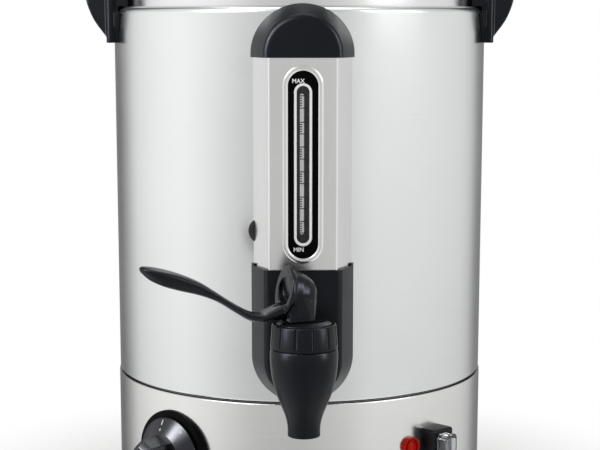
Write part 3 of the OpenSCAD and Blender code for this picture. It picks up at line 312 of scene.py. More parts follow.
# Drawn copper tube with a first brown bloom.
COPPER = Finish("copper_drawn", "#B4704F", 0.33, 1.0, relief_mm=0.004, cloud_mm=8, spread=0.1,
                mottle=0.14)
# Nickel-plated brass, turned: faint rings and a warm white.
PLATED_BRASS = Finish("brass_nickel_plated", "#C9C3B4", 0.24, 1.0, grain=Grain.ROUND,
                      relief_mm=0.004, cloud_mm=9, spread=0.07, mottle=0.05)
# Thermoset knob, polished in the mould: a wet black gloss.
GLOSS_BLACK = Finish("phenolic_moulded_polished", "#08080A", 0.25, mark_mm=1.2, relief_mm=0.003,
                     cloud_mm=18, spread=0.03, mottle=0.15, specular=0.48, tint="#F2F5FF")
# The dial plate is the same phenolic as it leaves the mould, unpolished.
PLAIN_BLACK = Finish("phenolic_moulded_plain", "#060607", 0.4, mark_mm=0.8, relief_mm=0.008,
                     cloud_mm=18, specular=0.05)
# Glass-filled nylon with a spark-eroded skin: a soft grey sheen over black.
SATIN_BLACK = Finish("nylon_moulded_spark_eroded", "#0A0B0D", 0.3, mark_mm=0.45, cloud_mm=26,
                     mottle=0.12, specular=0.16, tint="#EBF0FF")
# The lever is the same nylon, worn smoother where hands take it.
LEVER_BLACK = Finish("nylon_moulded_handled", "#090A0C", 0.26, mark_mm=0.45, relief_mm=0.008,
                     cloud_mm=26, mottle=0.12, specular=0.18, tint="#EBF0FF")
# Polypropylene inside pieces: flat and slightly waxy.
MATTE_BLACK = Finish("polypropylene_moulded_matt", "#050506", 0.5, relief_mm=0.02, spread=0.06,
                     specular=0.04, tint="#EBF0FF")
# Nitrile rubber: almost no gloss, with a faint dusty bloom.
RUBBER = Finish("rubber_moulded", "#1D1D1D", 0.72, mark_mm=0.6, relief_mm=0.02, cloud_mm=10,
                spread=0.08, mottle=0.15, sheen=0.15)
# Silicone: soft, a little see-through at its edges.
SILICONE = Finish("silicone_moulded", "#C9C5BC", 0.45, mark_mm=0.8, cloud_mm=8, spread=0.06,
                  mottle=0.06, subsurface=0.3)
# White acetal ring round the gauge's window: even, with a low gloss.
WHITE_PLASTIC = Finish("acetal_moulded_white", "#FAFAFA", 0.33, relief_mm=0.008, cloud_mm=15,
                       spread=0.04, mottle=0.01)
# Polyamide terminal strip, yellowed ivory.
IVORY_PLASTIC = Finish("polyamide_moulded_ivory", "#D9D0B8", 0.42, cloud_mm=12, mottle=0.05,
                       subsurface=0.15)
# Red button cap: plain glossy moulding.
RED_PLASTIC = Finish("polycarbonate_moulded_red", "#A8201C", 0.24, mark_mm=0.8, relief_mm=0.006,
                     cloud_mm=10, spread=0.04, mottle=0.08)
# Lens of the pilot lamp: deep red and glossy, with a warm glint on its ribs.
RED_LENS = Finish("polycarbonate_lens_red", "#C4150B", 0.12, ior=1.58, mark_mm=1.5,
                  relief_mm=0.006, cloud_mm=6, specular=0.3, tint="#FFB090")
# Splash cap in soft clear vinyl: a slightly wavy skin with bright edges.
CLEAR_VINYL = Finish("vinyl_moulded_clear", "#F2F4F6", 0.05, ior=1.45, mark_mm=3, relief_mm=0.006,
                     cloud_mm=9, spread=0.02, mottle=0.01, transmission=0.97)
# Window and sight tube: drawn borosilicate, smooth and faintly grey.
CLEAR_GLASS = Finish("glass_drawn_clear", "#EEF2F4", 0.03, ior=1.47, mark_mm=6, relief_mm=0.004,
                     spread=0.01, mottle=0.01, transmission=0.97)
# White screen-printing ink: a thin, even, slightly chalky layer.
PRINT_WHITE = Finish("ink_screen_printed_white", "#FAFAFA", 0.5, mark_mm=0.4, relief_mm=0.004,
                     cloud_mm=6, mottle=0.04)
# Painted highlight: a light grey strip on the window for the sight tube's reflection of the bright
# left.
PAINTED_TUBE_HIGHLIGHT = Finish("painted_tube_highlight_grey", "#D6D6D8", 0.5, mark_mm=0.4, relief_mm=0.004,
                    cloud_mm=40)
# Black ink of the scale's marks.
PRINT_BLACK = Finish("ink_screen_printed_black", "#0D0E10", 0.45, mark_mm=0.4, relief_mm=0.004,
                     cloud_mm=6, mottle=0.06, specular=0.2)
# The gauge's window is smoked, so the tube behind it stays dim.
SMOKED_GLASS = Finish("glass_pressed_smoked", "#5A5C63", 0.04, ior=1.47, mark_mm=6,
                      relief_mm=0.004, spread=0.01, mottle=0.01, transmission=0.97)

FINISHES = {
    "body_steel": SHELL_STEEL, "cover_steel": COVER_STEEL, "tank_steel": TANK_STEEL,
    "plate_steel": ZINC_SHEET, "fastener_steel": ZINC_PLATE, "cast_aluminium": CAST_ALUMINIUM,
    "element_sheath": ELEMENT_SHEATH, "copper": COPPER, "plated_brass": PLATED_BRASS,
    "gloss_black": GLOSS_BLACK, "satin_black": SATIN_BLACK, "matte_black": MATTE_BLACK,
    "black_rubber": RUBBER, "silicone": SILICONE, "white_plastic": WHITE_PLASTIC,
    "ivory_plastic": IVORY_PLASTIC, "red_plastic": RED_PLASTIC, "red_lens": RED_LENS,
    "clear_vinyl": CLEAR_VINYL, "clear_glass": CLEAR_GLASS,
}


# ---- Forms ----------------------------------------------------------------------------


class Combine(Enum):
    """How one solid is worked on with another."""

    JOIN = "UNION"
    CUT = "DIFFERENCE"
    SHARE = "INTERSECT"


class Form:
    """A mesh in the making, in millimetres."""

    def __init__(self) -> None:
        """Start with nothing."""
        self.mesh = bmesh.new()

    @classmethod
    def outline(cls, corners: Sequence[Corner], segments: int = 6) -> "Form":
        """Draw a flat outline in the XY plane and round its corners.

        Args:
            corners: Place across, place up and rounding radius of each corner.
            segments: Steps in each rounding.

        Returns:
            A single face.
        """
        form = cls()
        points = [form.mesh.verts.new((x, y, 0)) for x, y, _ in corners]
        form.mesh.faces.new(points)
        spots = [Vector((x, y)) for x, y, _ in corners]
        for i, point in enumerate(points):
            radius = corners[i][2]
            if radius <= 0:
                continue
            back, on = spots[i - 1] - spots[i], spots[(i + 1) % len(spots)] - spots[i]
            bmesh.ops.bevel(form.mesh, geom=[point], offset=radius / math.tan(back.angle(on) / 2),
                            offset_type="OFFSET", segments=segments, profile=0.5,
                            affect="VERTICES", clamp_overlap=False, material=-1)
        return form

    @classmethod
    def turned(cls, corners: Sequence[Corner], steps: int = 96, segments: int = 6,
               open_path: bool = False) -> "Form":
        """Spin an outline of radius and height round Z.

        Args:
            corners: Radius, height and rounding of each corner; on the axis both ends stay open.
            steps: Steps in the turn.
            segments: Steps in each rounding.
            open_path: Leave out the side from the last corner to the first.

        Returns:
            The turned skin, with its normals outwards.
        """
        form = cls.outline(corners, segments)
        mesh = form.mesh
        ends = [corners[0], corners[-1]]
        bmesh.ops.delete(mesh, geom=mesh.faces[:], context="FACES_ONLY")
        if open_path or all(radius == 0 for radius, _, _ in ends):
            spots = [Vector((x, y, 0)) for x, y, _ in ends]
            closing = [e for e in mesh.edges
                       if all(min((v.co - s).length for s in spots) < 1e-5 for v in e.verts)]
            bmesh.ops.delete(mesh, geom=closing, context="EDGES")
        bmesh.ops.rotate(mesh, verts=mesh.verts, matrix=Matrix.Rotation(math.pi / 2, 3, "X"))
        bmesh.ops.spin(mesh, geom=mesh.verts[:] + mesh.edges[:], cent=(0, 0, 0), axis=(0, 0, 1),
                       angle=math.tau, steps=steps, use_merge=True)
        bmesh.ops.remove_doubles(mesh, verts=mesh.verts, dist=WELD)
        bmesh.ops.recalc_face_normals(mesh, faces=mesh.faces)
        return form

    @classmethod
    def sheet(cls, corners: Sequence[Corner], thickness: float, steps: int = 256,
              segments: int = 6) -> "Form":
        """Spin a path into a sheet-metal skin whose face follows the path.

        Args:
            corners: Radius, height and rounding of each corner of the path.
            thickness: The sheet's thickness, laid on the side towards the axis if positive.
            steps: Steps in the turn.
            segments: Steps in each rounding.

        Returns:
            The closed sheet.
        """
        form = cls.turned(corners, steps, segments, open_path=True)
        upright = [f for f in form.mesh.faces if abs(f.normal.z) < 0.1]
        face = max(upright, key=lambda f: f.calc_area())
        outwards = face.normal.dot(Vector((*face.calc_center_median().xy, 0))) > 0
        if not outwards:
            bmesh.ops.reverse_faces(form.mesh, faces=form.mesh.faces)
        bmesh.ops.solidify(form.mesh, geom=form.mesh.faces[:], thickness=thickness)
        if thickness < 0:
            bmesh.ops.reverse_faces(form.mesh, faces=form.mesh.faces)
        return form

    @classmethod
    def prism(cls, corners: Sequence[Corner], low: float, high: float, segments: int = 6) -> "Form":
        """Raise a flat outline along Z.

        Args:
            corners: Place across, place up and rounding of each corner.
            low: Height where it starts.
            high: Height where it ends.
            segments: Steps in each rounding.

        Returns:
            The closed prism.
        """
        form = cls.outline(corners, segments)
        bmesh.ops.remove_doubles(form.mesh, verts=form.mesh.verts, dist=WELD)
        bmesh.ops.translate(form.mesh, verts=form.mesh.verts, vec=(0, 0, low))
        form.raise_faces(form.mesh.faces[:], high - low)
        bmesh.ops.recalc_face_normals(form.mesh, faces=form.mesh.faces)
        return form

    @classmethod
    def block(cls, width: float, depth: float, low: float, high: float,
              rounding: float = 0.0) -> "Form":
        """Make an upright block centred on Z, its upright edges rounded."""
        x, y = width / 2, depth / 2
        return cls.prism([(x, y, rounding), (-x, y, rounding), (-x, -y, rounding), (x, -y, rounding)],
                         low, high)

    @classmethod
    def rod(cls, radius: float, low: float, high: float, steps: int = 48) -> "Form":
        """Make a round bar on Z."""
        form = cls()
        bmesh.ops.create_cone(form.mesh, cap_ends=True, segments=steps, radius1=radius,
                              radius2=radius, depth=high - low)
        bmesh.ops.translate(form.mesh, verts=form.mesh.verts, vec=(0, 0, (low + high) / 2))
        return form

    @classmethod
    def stadium(cls, run: float, half_width: float, low: float, high: float,
                rim: float = 0.0) -> "Form":
        """Make a slot-shaped plate: a straight run along Y with a half round at each end.

        Args:
            run: Length of the straight part.
            half_width: Radius of the ends.
            low: Height of its back.
            high: Height of its front.
            rim: Rounding of its front edge.

        Returns:
            The closed plate.
        """
        r, y = half_width, run / 2 + half_width
        form = cls.prism([(r, y, r), (-r, y, r), (-r, -y, r), (r, -y, r)], low, high, 20)
        if rim:
            form.soften(rim, lambda e: all(v.co.z > high - WELD for v in e.verts))
        return form

    @classmethod
    def from_node(cls, node: str) -> "Form":
        """Copy a CAD node's mesh, its loose triangles merged."""
        form = cls()
        form.mesh.from_mesh(frame["nodes"][node].data)
        form.mesh.transform(Matrix.Scale(1000, 4))
        bmesh.ops.remove_doubles(form.mesh, verts=form.mesh.verts, dist=WELD)
        bmesh.ops.dissolve_limit(form.mesh, angle_limit=math.radians(1), verts=form.mesh.verts,
                                 edges=form.mesh.edges)
        return form

    @classmethod
    def hull(cls, points: Iterable[Sequence[float]]) -> "Form":
        """Wrap points in the closed convex skin that holds them all."""
        form = cls()
        verts = [form.mesh.verts.new(p) for p in points]
        made = bmesh.ops.convex_hull(form.mesh, input=verts)
        inner = {g for g in made["geom_interior"] + made["geom_unused"]
                 if isinstance(g, bmesh.types.BMVert)}
        bmesh.ops.delete(form.mesh, geom=list(inner), context="VERTS")
        bmesh.ops.recalc_face_normals(form.mesh, faces=form.mesh.faces)
        return form

    @classmethod
    def wire(cls, path: Sequence[Vector], radius: float, sides: int = 12) -> "Form":
        """Sweep a round wire along a path that never runs straight up, and close its ends."""
        form = cls()
        rings = []
        for i, point in enumerate(path):
            along = (path[min(i + 1, len(path) - 1)] - path[max(i - 1, 0)]).normalized()
            side = along.cross(Vector((0, 0, 1))).normalized()
            up = side.cross(along)
            turns = (math.tau * k / sides for k in range(sides))
            rings.append([form.mesh.verts.new(point + radius * (math.cos(a) * side + math.sin(a) * up))
                          for a in turns])
        for low, high in zip(rings, rings[1:]):
            for k in range(sides):
                form.mesh.faces.new((low[k - 1], low[k], high[k], high[k - 1]))
        form.mesh.faces.new(rings[0][::-1])
        form.mesh.faces.new(rings[-1])
        bmesh.ops.recalc_face_normals(form.mesh, faces=form.mesh.faces)
        return form

    def raise_faces(self, faces: Iterable[bmesh.types.BMFace], height: float,
                    scale: float = 1.0) -> None:
        """Extrude faces along Z and scale the new ends about Z.

        Args:
            faces: The faces to extrude.
            height: How far along Z.
            scale: Scale of the new end in X and Y.
        """
        new = bmesh.ops.extrude_face_region(self.mesh, geom=list(faces))["geom"]
        verts = [g for g in new if isinstance(g, bmesh.types.BMVert)]
        bmesh.ops.translate(self.mesh, verts=verts, vec=(0, 0, height))
        bmesh.ops.scale(self.mesh, verts=verts, vec=(scale, scale, 1))
        stale = [f for f in faces if f.is_valid]
        bmesh.ops.delete(self.mesh, geom=[f for f in stale if len(stale) < len(self.mesh.faces)
                                          and any(len(e.link_faces) > 2 for e in f.edges)],
                         context="FACES_ONLY")

    def soften(self, width: float, where: Callable[[bmesh.types.BMEdge], bool] | None = None,
               segments: int = 3) -> "Form":
        """Round the sharp edges.

        Args:
            width: Width of the rounding.
            where: Which edges, of those that are sharp enough; all of them if left out.
            segments: Steps in the rounding.

        Returns:
            The same form.
        """
        edges = [e for e in self.mesh.edges if len(e.link_faces) == 2
                 and e.calc_face_angle(0) > SHARP and (where is None or where(e))]
        bmesh.ops.bevel(self.mesh, geom=edges, offset=width, offset_type="OFFSET",
                        segments=segments, profile=0.5, affect="EDGES", clamp_overlap=True,
                        material=-1)
        return self

    def moved(self, matrix: Matrix) -> "Form":
        """Place the form by a matrix and keep its faces outwards."""
        self.mesh.transform(matrix)
        if matrix.determinant() < 0:
            bmesh.ops.reverse_faces(self.mesh, faces=self.mesh.faces)
        return self

    def copy(self) -> "Form":
        """Make a second form like this one."""
        twin = Form()
        twin.mesh = self.mesh.copy()
        return twin

    def add(self, *others: "Form") -> "Form":
        """Lay other forms beside this one without joining their skins."""
        for other in others:
            data = bpy.data.meshes.new("beside")
            other.mesh.to_mesh(data)
            self.mesh.from_mesh(data)
            bpy.data.meshes.remove(data)
        return self

    def ring(self, angles: Iterable[float], out: float, height: float = 0.0) -> "Form":
        """Repeat the form round the axis at these angles, moved out along Y and up."""
        return Form().add(*(self.copy().moved(about_z(a) @ shift(0, out, height)) for a in angles))

    def scratch(self, name: str) -> bpy.types.Object:
        """Make an object of the form in the scene."""
        data = bpy.data.meshes.new(name)
        self.mesh.to_mesh(data)
        return add_object(name, data)

    def take(self, made: bpy.types.Object) -> "Form":
        """Take over a scratch object's evaluated mesh, and remove the object.

        Args:
            made: The object.

        Returns:
            The same form.
        """
        graph = bpy.context.evaluated_depsgraph_get()
        data = bpy.data.meshes.new_from_object(made.evaluated_get(graph))
        self.mesh.free()
        self.mesh = bmesh.new()
        self.mesh.from_mesh(data)
        bpy.data.meshes.remove(data)
        discard(made)
        return self

    def combined(self, how: Combine, *others: "Form") -> "Form":
        """Join, cut or share with other solids, exactly.

        Args:
            how: What is done with them.
            others: The other solids, worked in turn.

        Returns:
            The same form.
        """
        for other in others:
            target, tool = self.scratch("target"), other.scratch("tool")
            modifier = target.modifiers.new("combine", "BOOLEAN")
            modifier.operation, modifier.solver, modifier.object = how.value, "EXACT", tool
            self.take(target)
            discard(tool)
        return self

    def cut(self, *others: "Form") -> "Form":
        """Cut other solids away."""
        return self.combined(Combine.CUT, *others)

    def join(self, *others: "Form") -> "Form":
        """Join other solids on."""
        return self.combined(Combine.JOIN, *others)

    def share(self, *others: "Form") -> "Form":
        """Keep what is shared with other solids."""
        return self.combined(Combine.SHARE, *others)

    def remoulded(self, voxel: float, rounds: int) -> "Form":
        """Skin the form anew and relax it, which rounds every edge as a mould does.

        Args:
            voxel: Size of the new faces.
            rounds: How often the skin is relaxed.

        Returns:
            The same form.
        """
        made = self.scratch("remould")
        remesh = made.modifiers.new("skin", "REMESH")
        remesh.mode, remesh.voxel_size = "VOXEL", voxel
        relax = made.modifiers.new("relax", "SMOOTH")
        relax.iterations, relax.factor = rounds, 0.5
        return self.take(made)

    def place(self, name: str, finish: Finish, node: str = "", body: str = "urn", slot: str = "",
              crease: float = 32.0) -> bpy.types.Object:
        """Turn the form into an object of the part.

        Args:
            name: The piece's name.
            finish: What it is made of.
            node: The CAD node it stands for, or nothing for print.
            body: The body it moves with.
            slot: Not used.
            crease: The angle between faces past which an edge stays sharp, in degrees.

        Returns:
            The object.
        """
        self.mesh.transform(Matrix.Scale(0.001, 4))
        made = self.scratch(name)
        self.mesh.free()
        data = made.data
        data.shade_smooth()
        data.set_sharp_from_angle(angle=math.radians(crease))
        data.materials.append(finish.material())
        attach(made, body)
        if node:
            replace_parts(made, node)
        log.info("%s: %d faces on %s, %s", name, len(data.polygons), body, finish.name)
        return made


def discard(made: bpy.types.Object) -> None:
    """Remove an object and its mesh."""
    data = made.data
    bpy.data.objects.remove(made)
    bpy.data.meshes.remove(data)


def about_z(angle: float) -> Matrix:
    """Turn about the body's axis, in degrees."""
    return Matrix.Rotation(math.radians(angle), 4, "Z")


def shift(x: float, y: float, z: float) -> Matrix:
    """Move without turning."""
    return Matrix.Translation((x, y, z))


def facing(angle: float, height: float, out: float = 0.0) -> Matrix:
    """Frame on the body's wall: local Z points out at this angle from the front, local Y up."""
    return about_z(angle) @ shift(0, -out, height) @ TIP_X


def frontward(x: float = 0.0, z: float = 0.0) -> Matrix:
    """Frame on the front: local Z points out of the front, local Y up."""
    return shift(x, 0, z) @ TIP_X


def hole(radius: float, place: Matrix, low: float = 90.0, high: float = 140.0,
         steps: int = 48) -> Form:
    """Make the rod that cuts a round hole, along the local Z of its place."""
    return Form.rod(radius, low, high, steps).moved(place)


def lettering(text: str, size: float, thickness: float) -> Form:
    """Make printed characters as a thin solid in the XY plane, centred.

    Args:
        text: The characters.
        size: Height of the type in millimetres.
        thickness: Thickness of the ink.

    Returns:
        The solid.
    """
    curve = bpy.data.curves.new("type", "FONT")
    curve.body, curve.size, curve.extrude = text, size, thickness / 2
    curve.align_x, curve.align_y, curve.resolution_u = "CENTER", "CENTER", 4
    curve.offset = BOLDER * size
    made = add_object("type", curve)
    graph = bpy.context.evaluated_depsgraph_get()
    data = bpy.data.meshes.new_from_object(made.evaluated_get(graph))
    form = Form()
    form.mesh.from_mesh(data)
    bpy.data.objects.remove(made)
    bpy.data.curves.remove(curve)
    bpy.data.meshes.remove(data)
    bmesh.ops.remove_doubles(form.mesh, verts=form.mesh.verts, dist=1e-4)
    bmesh.ops.recalc_face_normals(form.mesh, faces=form.mesh.faces)
    return form


# ---- Shared sizes ---------------------------------------------------------------------


@dataclass(frozen=True)
class UrnSizes:
    """Heights, radii, places and fits that several sub-assemblies share."""

    body_r: float = 130.0
    sheet: float = 0.8
    base_h: float = 95.5
    base_top: float = 96.7
    rim_z: float = 351.5
    ledge_z: float = 339.0
    floor_z: float = 106.8
    plate_z: float = 9.0
    plate_top: float = 10.0
    foot_sink: float = 4.0
    dome_top: float = 385.5
    tank_r: float = 115.0
    seat_r: float = 122.6
    base_r: float = 130.6
    base_in: float = 129.6
    rim_round: float = 3.8
    tap_y: float = -180.0
    tap_z: float = 130.0
    m4_hole: float = 2.2
    m5_hole: float = 2.7
    tap_bore: float = 11.1
    fitting_bore: float = 5.3
    fitting_z: tuple[float, float] = (157.0, 328.0)
    # Clearances: of fitted pieces, of pieces that stand off or turn, and of backs on the drum
    snug: float = 0.1
    gap: float = 0.3
    touch: float = 0.05
    quarters: tuple[int, ...] = (45, 135, 225, 315)
    thirds: tuple[int, ...] = (0, 120, 240)
    foot_ring: float = 100.0
    flange_ring: float = 124.6
    stud_ring: float = 40.0
    # Angle from the front and height of what sits in the wall
    knob_at: tuple[float, float] = (-41.5, 54.0)
    lamp_at: tuple[float, float] = (33.5, 61.6)
    switch_at: tuple[float, float] = (42.0, 57.0)
    reset_at: tuple[float, float] = (208.0, 50.0)
    gland_at: tuple[float, float] = (180.0, 32.0)
    plug_at: tuple[float, float] = (-11.8, 209.3)

    def drum(self, radius: float) -> Form:
        """Make the space inside a wall, to fit a back onto the wall's curve."""
        return Form.rod(radius + self.touch, -10, self.rim_z + 150, 256)

    def front_holes(self) -> list[Form]:
        """Make the holes for the tap's shank and the gauge's two fittings."""
        return [hole(self.tap_bore, frontward(0, self.tap_z)),
                *(hole(self.fitting_bore, frontward(0, z)) for z in self.fitting_z)]


SIZES = UrnSizes()


# ---- Fasteners ------------------------------------------------------------------------


@dataclass
class Fasteners:
    """Pan-head screws and hexagon nuts, shown or hidden."""

    head_h: float = 2.4
    # Radius of thread and head
    m4: tuple[float, float] = (2.0, 3.5)
    m5: tuple[float, float] = (2.5, 4.4)
    # Radius over the corners, height and radius of the bore
    m5_nut: tuple[float, float, float] = (4.6, 3.6, 2.55)
    fitting_nut: tuple[float, float, float] = (9.5, 5.0, 5.05)
    tap_nut: tuple[float, float, float] = (16.0, 5.4, 10.85)
    seam_ring: float = 121.5
    stud_nut_z: float = 94.4
    washer: float = 3.2

    def screw(self, size: tuple[float, float], length: float) -> Form:
        """Make a pan-head screw that points up, its head below zero.

        Args:
            size: Radius of the thread and of the head.
            length: Length under the head.

        Returns:
            The screw.
        """
        h = self.head_h
        radius, head_r = size
        form = Form.turned([(0, -h, 0), (head_r * 0.72, -h, 0.8), (head_r, -h * 0.45, 0.9),
                            (head_r, 0, 0.15), (radius, 0, 0), (radius, length - 0.6, 0),
                            (radius - 0.5, length, 0), (0, length, 0)], 32, 3)
        for turn in (0, 90):
            form.cut(Form.block(head_r * 0.95, 0.8, -h - 1, -h * 0.42).moved(about_z(turn)))
        return form

    def nut(self, radius: float, height: float, bore: float) -> Form:
        """Make a hexagon nut with turned corners, standing on zero.

        Args:
            radius: Radius over its corners.
            height: Its height.
            bore: Radius of its hole.

        Returns:
            The nut.
        """
        chamfer = radius * 0.12
        round_one = Form.turned([(0, 0, 0), (radius - chamfer, 0, 0), (radius, chamfer * 0.6, 0),
                                 (radius, height - chamfer * 0.6, 0),
                                 (radius - chamfer, height, 0), (0, height, 0)], 48)
        form = Form.rod(radius, 0, height, 6).share(round_one)
        return form.cut(Form.turned([(0, -1, 0), (bore + 1.2, -1, 0), (bore, 0.5, 0),
                                     (bore, height - 0.5, 0), (bore + 1.2, height + 1, 0),
                                     (0, height + 1, 0)], 32))

    def build(self) -> None:
        """Build and dress every screw and nut of the urn."""
        s = SIZES
        screw, nut = self.screw(self.m4, 8), self.nut(*self.m5_nut)
        bottom = screw.ring(s.quarters, s.flange_ring, s.plate_z)
        bottom.add(screw.ring(s.quarters, self.seam_ring, s.base_top - 1))
        bottom.place("base_screws_panhead", ZINC_PLATE, "base_screws")
        feet = self.screw(self.m5, 11).ring(s.quarters, s.foot_ring, s.foot_sink)
        feet.place("foot_screws_panhead", ZINC_PLATE, "foot_screws")
        nuts = nut.ring(s.quarters, s.foot_ring, s.plate_top)
        nuts.add(nut.ring(s.thirds, s.stud_ring, self.stud_nut_z))
        nuts.place("hexagon_nuts", ZINC_PLATE, "hex_nuts")
        knob = self.screw(self.m5, 12).moved(shift(0, 0, s.dome_top - s.sheet - s.snug))
        knob.place("lid_knob_screw_panhead", ZINC_PLATE, "lid_knob_screw", "lid")
        radius, tall, _ = self.fitting_nut
        chord = math.sqrt(s.tank_r ** 2 - (radius + s.snug) ** 2) - tall - 2 * s.snug
        small = self.nut(*self.fitting_nut).moved(frontward() @ shift(0, 0, chord))
        pair = Form().add(*(small.copy().moved(shift(0, 0, z)) for z in s.fitting_z))
        pair.place("fitting_nuts_turned", PLATED_BRASS, "fitting_nuts")
        inner = s.tank_r - self.washer - s.snug - self.tap_nut[1]
        large = self.nut(*self.tap_nut).moved(frontward(0, s.tap_z) @ shift(0, 0, inner))
        large.place("tap_nut_turned", PLATED_BRASS, "tap_nut")


# ---- Body -----------------------------------------------------------------------------


@dataclass
class Body:
    """Base, shell, tank, bottom plate and feet."""

    base_t: float = 1.0
    flange_r: float = 121.6
    plate_r: float = 127.2
    seam_r: float = 127.0
    shell_flange_r: float = 117.0
    dish_r: float = 88.0
    boss_r: float = 30.0
    foot_r: float = 11.0
    foot_bore: float = 5.2
    stud_r: float = 2.5
    vents: int = 12
    vent_ring: float = 62.0
    vent_run: float = 20.0
    vent_r: float = 1.8
    knob_hole: float = 9.0
    lamp_hole: float = 5.6
    switch_hole: tuple[float, float] = (15.0, 27.0)
    reset_hole: float = 5.2
    gland_hole: float = 6.2
    plug_hole: float = 5.1

    def base(self) -> None:
        """Build the spun steel base with the openings for its controls."""
        s = SIZES
        low, r, seam_r = s.plate_top, s.base_r, self.seam_r
        form = Form.sheet([(self.flange_r, low, 0), (r, low, 2), (r, s.base_h, 1.1),
                           (seam_r, s.base_h, 0), (seam_r, s.base_top, 0),
                           (self.shell_flange_r - 1, s.base_top, 0)], self.base_t, segments=8)
        form.cut(hole(self.knob_hole, facing(*s.knob_at)), hole(self.lamp_hole, facing(*s.lamp_at)),
                 Form.block(*self.switch_hole, 100, 140).moved(facing(*s.switch_at)),
                 hole(self.reset_hole, facing(*s.reset_at)),
                 hole(self.gland_hole, facing(*s.gland_at)))
        form.place("base_spun_steel", BASE_STEEL, "base_housing")

    def shell(self) -> None:
        """Build the drum's outer wall with its turned-in top edge."""
        s = SIZES
        top = s.rim_z - s.sheet
        form = Form.sheet([(self.shell_flange_r, s.base_top, 0), (s.body_r, s.base_top, 1.2),
                           (s.body_r, top, s.rim_round), (s.seat_r + s.sheet + 1.4, top, 0)],
                          s.sheet, segments=8)
        form.cut(*s.front_holes(), hole(self.plug_hole, facing(*s.plug_at)))
        form.place("shell_brushed_steel", SHELL_STEEL, "outer_shell")

    def tank(self) -> None:
        """Build the deep-drawn tank, its ledge for the lid and its rolled rim."""
        s = SIZES
        form = Form.sheet([(0, s.floor_z, 0), (s.tank_r, s.floor_z, 8), (s.tank_r, s.ledge_z, 1.4),
                           (s.seat_r, s.ledge_z, 1), (s.seat_r, s.rim_z, 1.4),
                           (s.body_r - s.rim_round, s.rim_z, 0)], -s.sheet, 192)
        studs = Form.rod(self.stud_r, 89, s.floor_z - 0.4, 24).ring(s.thirds, s.stud_ring)
        form.cut(*s.front_holes()).add(studs)
        form.place("tank_drawn_steel", TANK_STEEL, "inner_tank")

    def bottom(self) -> None:
        """Build the vented bottom plate."""
        s = SIZES
        low, high = s.plate_z, s.plate_top
        form = Form.turned([(0, low, 0), (self.boss_r, low, 0), (self.dish_r, low, 0),
                            (self.plate_r, low, 0.2), (self.plate_r, high, 0.2),
                            (self.dish_r, high, 0), (self.boss_r, high, 0), (0, high, 0)], 160, 2)
        turns = [(i + 0.5) * 360 / self.vents for i in range(self.vents)]
        vent = Form.stadium(self.vent_run, self.vent_r, low - 1, high + 1)
        form.cut(Form().add(vent.ring(turns, self.vent_ring),
                            Form.rod(s.m5_hole, low - 1, high + 1).ring(s.quarters, s.foot_ring),
                            Form.rod(s.m4_hole, low - 1, high + 1).ring(s.quarters, s.flange_ring)))
        form.place("bottom_plate_galvanised", ZINC_SHEET, "bottom_plate")

    def feet(self) -> None:
        """Build the four moulded rubber feet."""
        s = SIZES
        r, h, bore, sink = self.foot_r, s.plate_z, self.foot_bore, s.foot_sink
        foot = Form.turned([(bore, 0, 0.3), (r, 0, 0.8), (r + 0.7, h * 0.45, 0), (r + 1.5, h, 0.5),
                            (s.m5_hole, h, 0), (s.m5_hole, sink, 0), (bore, sink, 0)], 64, 4)
        foot.ring(s.quarters, s.foot_ring).place("feet_rubber", RUBBER, "feet")

    def build(self) -> None:
        """Build the whole body."""
        self.base()
        self.shell()
        self.tank()
        self.bottom()
        self.feet()


@dataclass
class Lid:
    """Lift-off lid with its knob."""

    lid_r: float = 121.5
    shoulder_z: float = 361.5
    dome_r: float = 109.5
    dome_z: float = 363.0
    steam_r: float = 2.2
    steam_ring: float = 60.0
    knob_h: float = 26.0
    knob_r: float = 20.0
    knob_bore: float = 2.55

    def cover(self) -> None:
        """Build the pressed lid: a stepped rim, a shallow dome and three steam holes."""
        s = SIZES
        rise = s.dome_top - self.dome_z
        curve = (self.dome_r ** 2 + rise ** 2) / (2 * rise)
        dome = [(r, s.dome_top - curve + math.sqrt(curve ** 2 - r ** 2), 0.0)
                for r in (self.dome_r * (1 - i / 24) for i in range(25))]
        path = [(self.lid_r, s.ledge_z + s.gap, 0), (self.lid_r, self.shoulder_z, 4),
                (self.dome_r + 3, self.shoulder_z, 1), *dome]
        form = Form.sheet(path, s.sheet)
        steam = Form.rod(self.steam_r, 370, 400, 32).ring((-12, 0, 12), self.steam_ring)
        form.cut(Form.rod(s.m5_hole, 370, 400, 32), steam)
        form.place("lid_pressed_steel", SHELL_STEEL, "lid", "lid")

    def knob(self) -> None:
        """Build the mushroom knob."""
        h, r, bore = self.knob_h, self.knob_r, self.knob_bore
        form = Form.turned([(bore, 0, 0), (13, 0, 0.4), (12.4, 3.4, 1.6), (8.6, h * 0.36, 6),
                            (r, h - 7.5, 3), (r, h - 1, 5), (0, h, 0), (0, h / 2, 0),
                            (bore, h / 2, 0)], 128, 10)
        form.moved(shift(0, 0, SIZES.dome_top)).place("lid_knob_moulded", GLOSS_BLACK, "lid_knob",
                                                      "lid")

    def build(self) -> None:
        """Build the lid and its knob."""
        self.cover()
        self.knob()


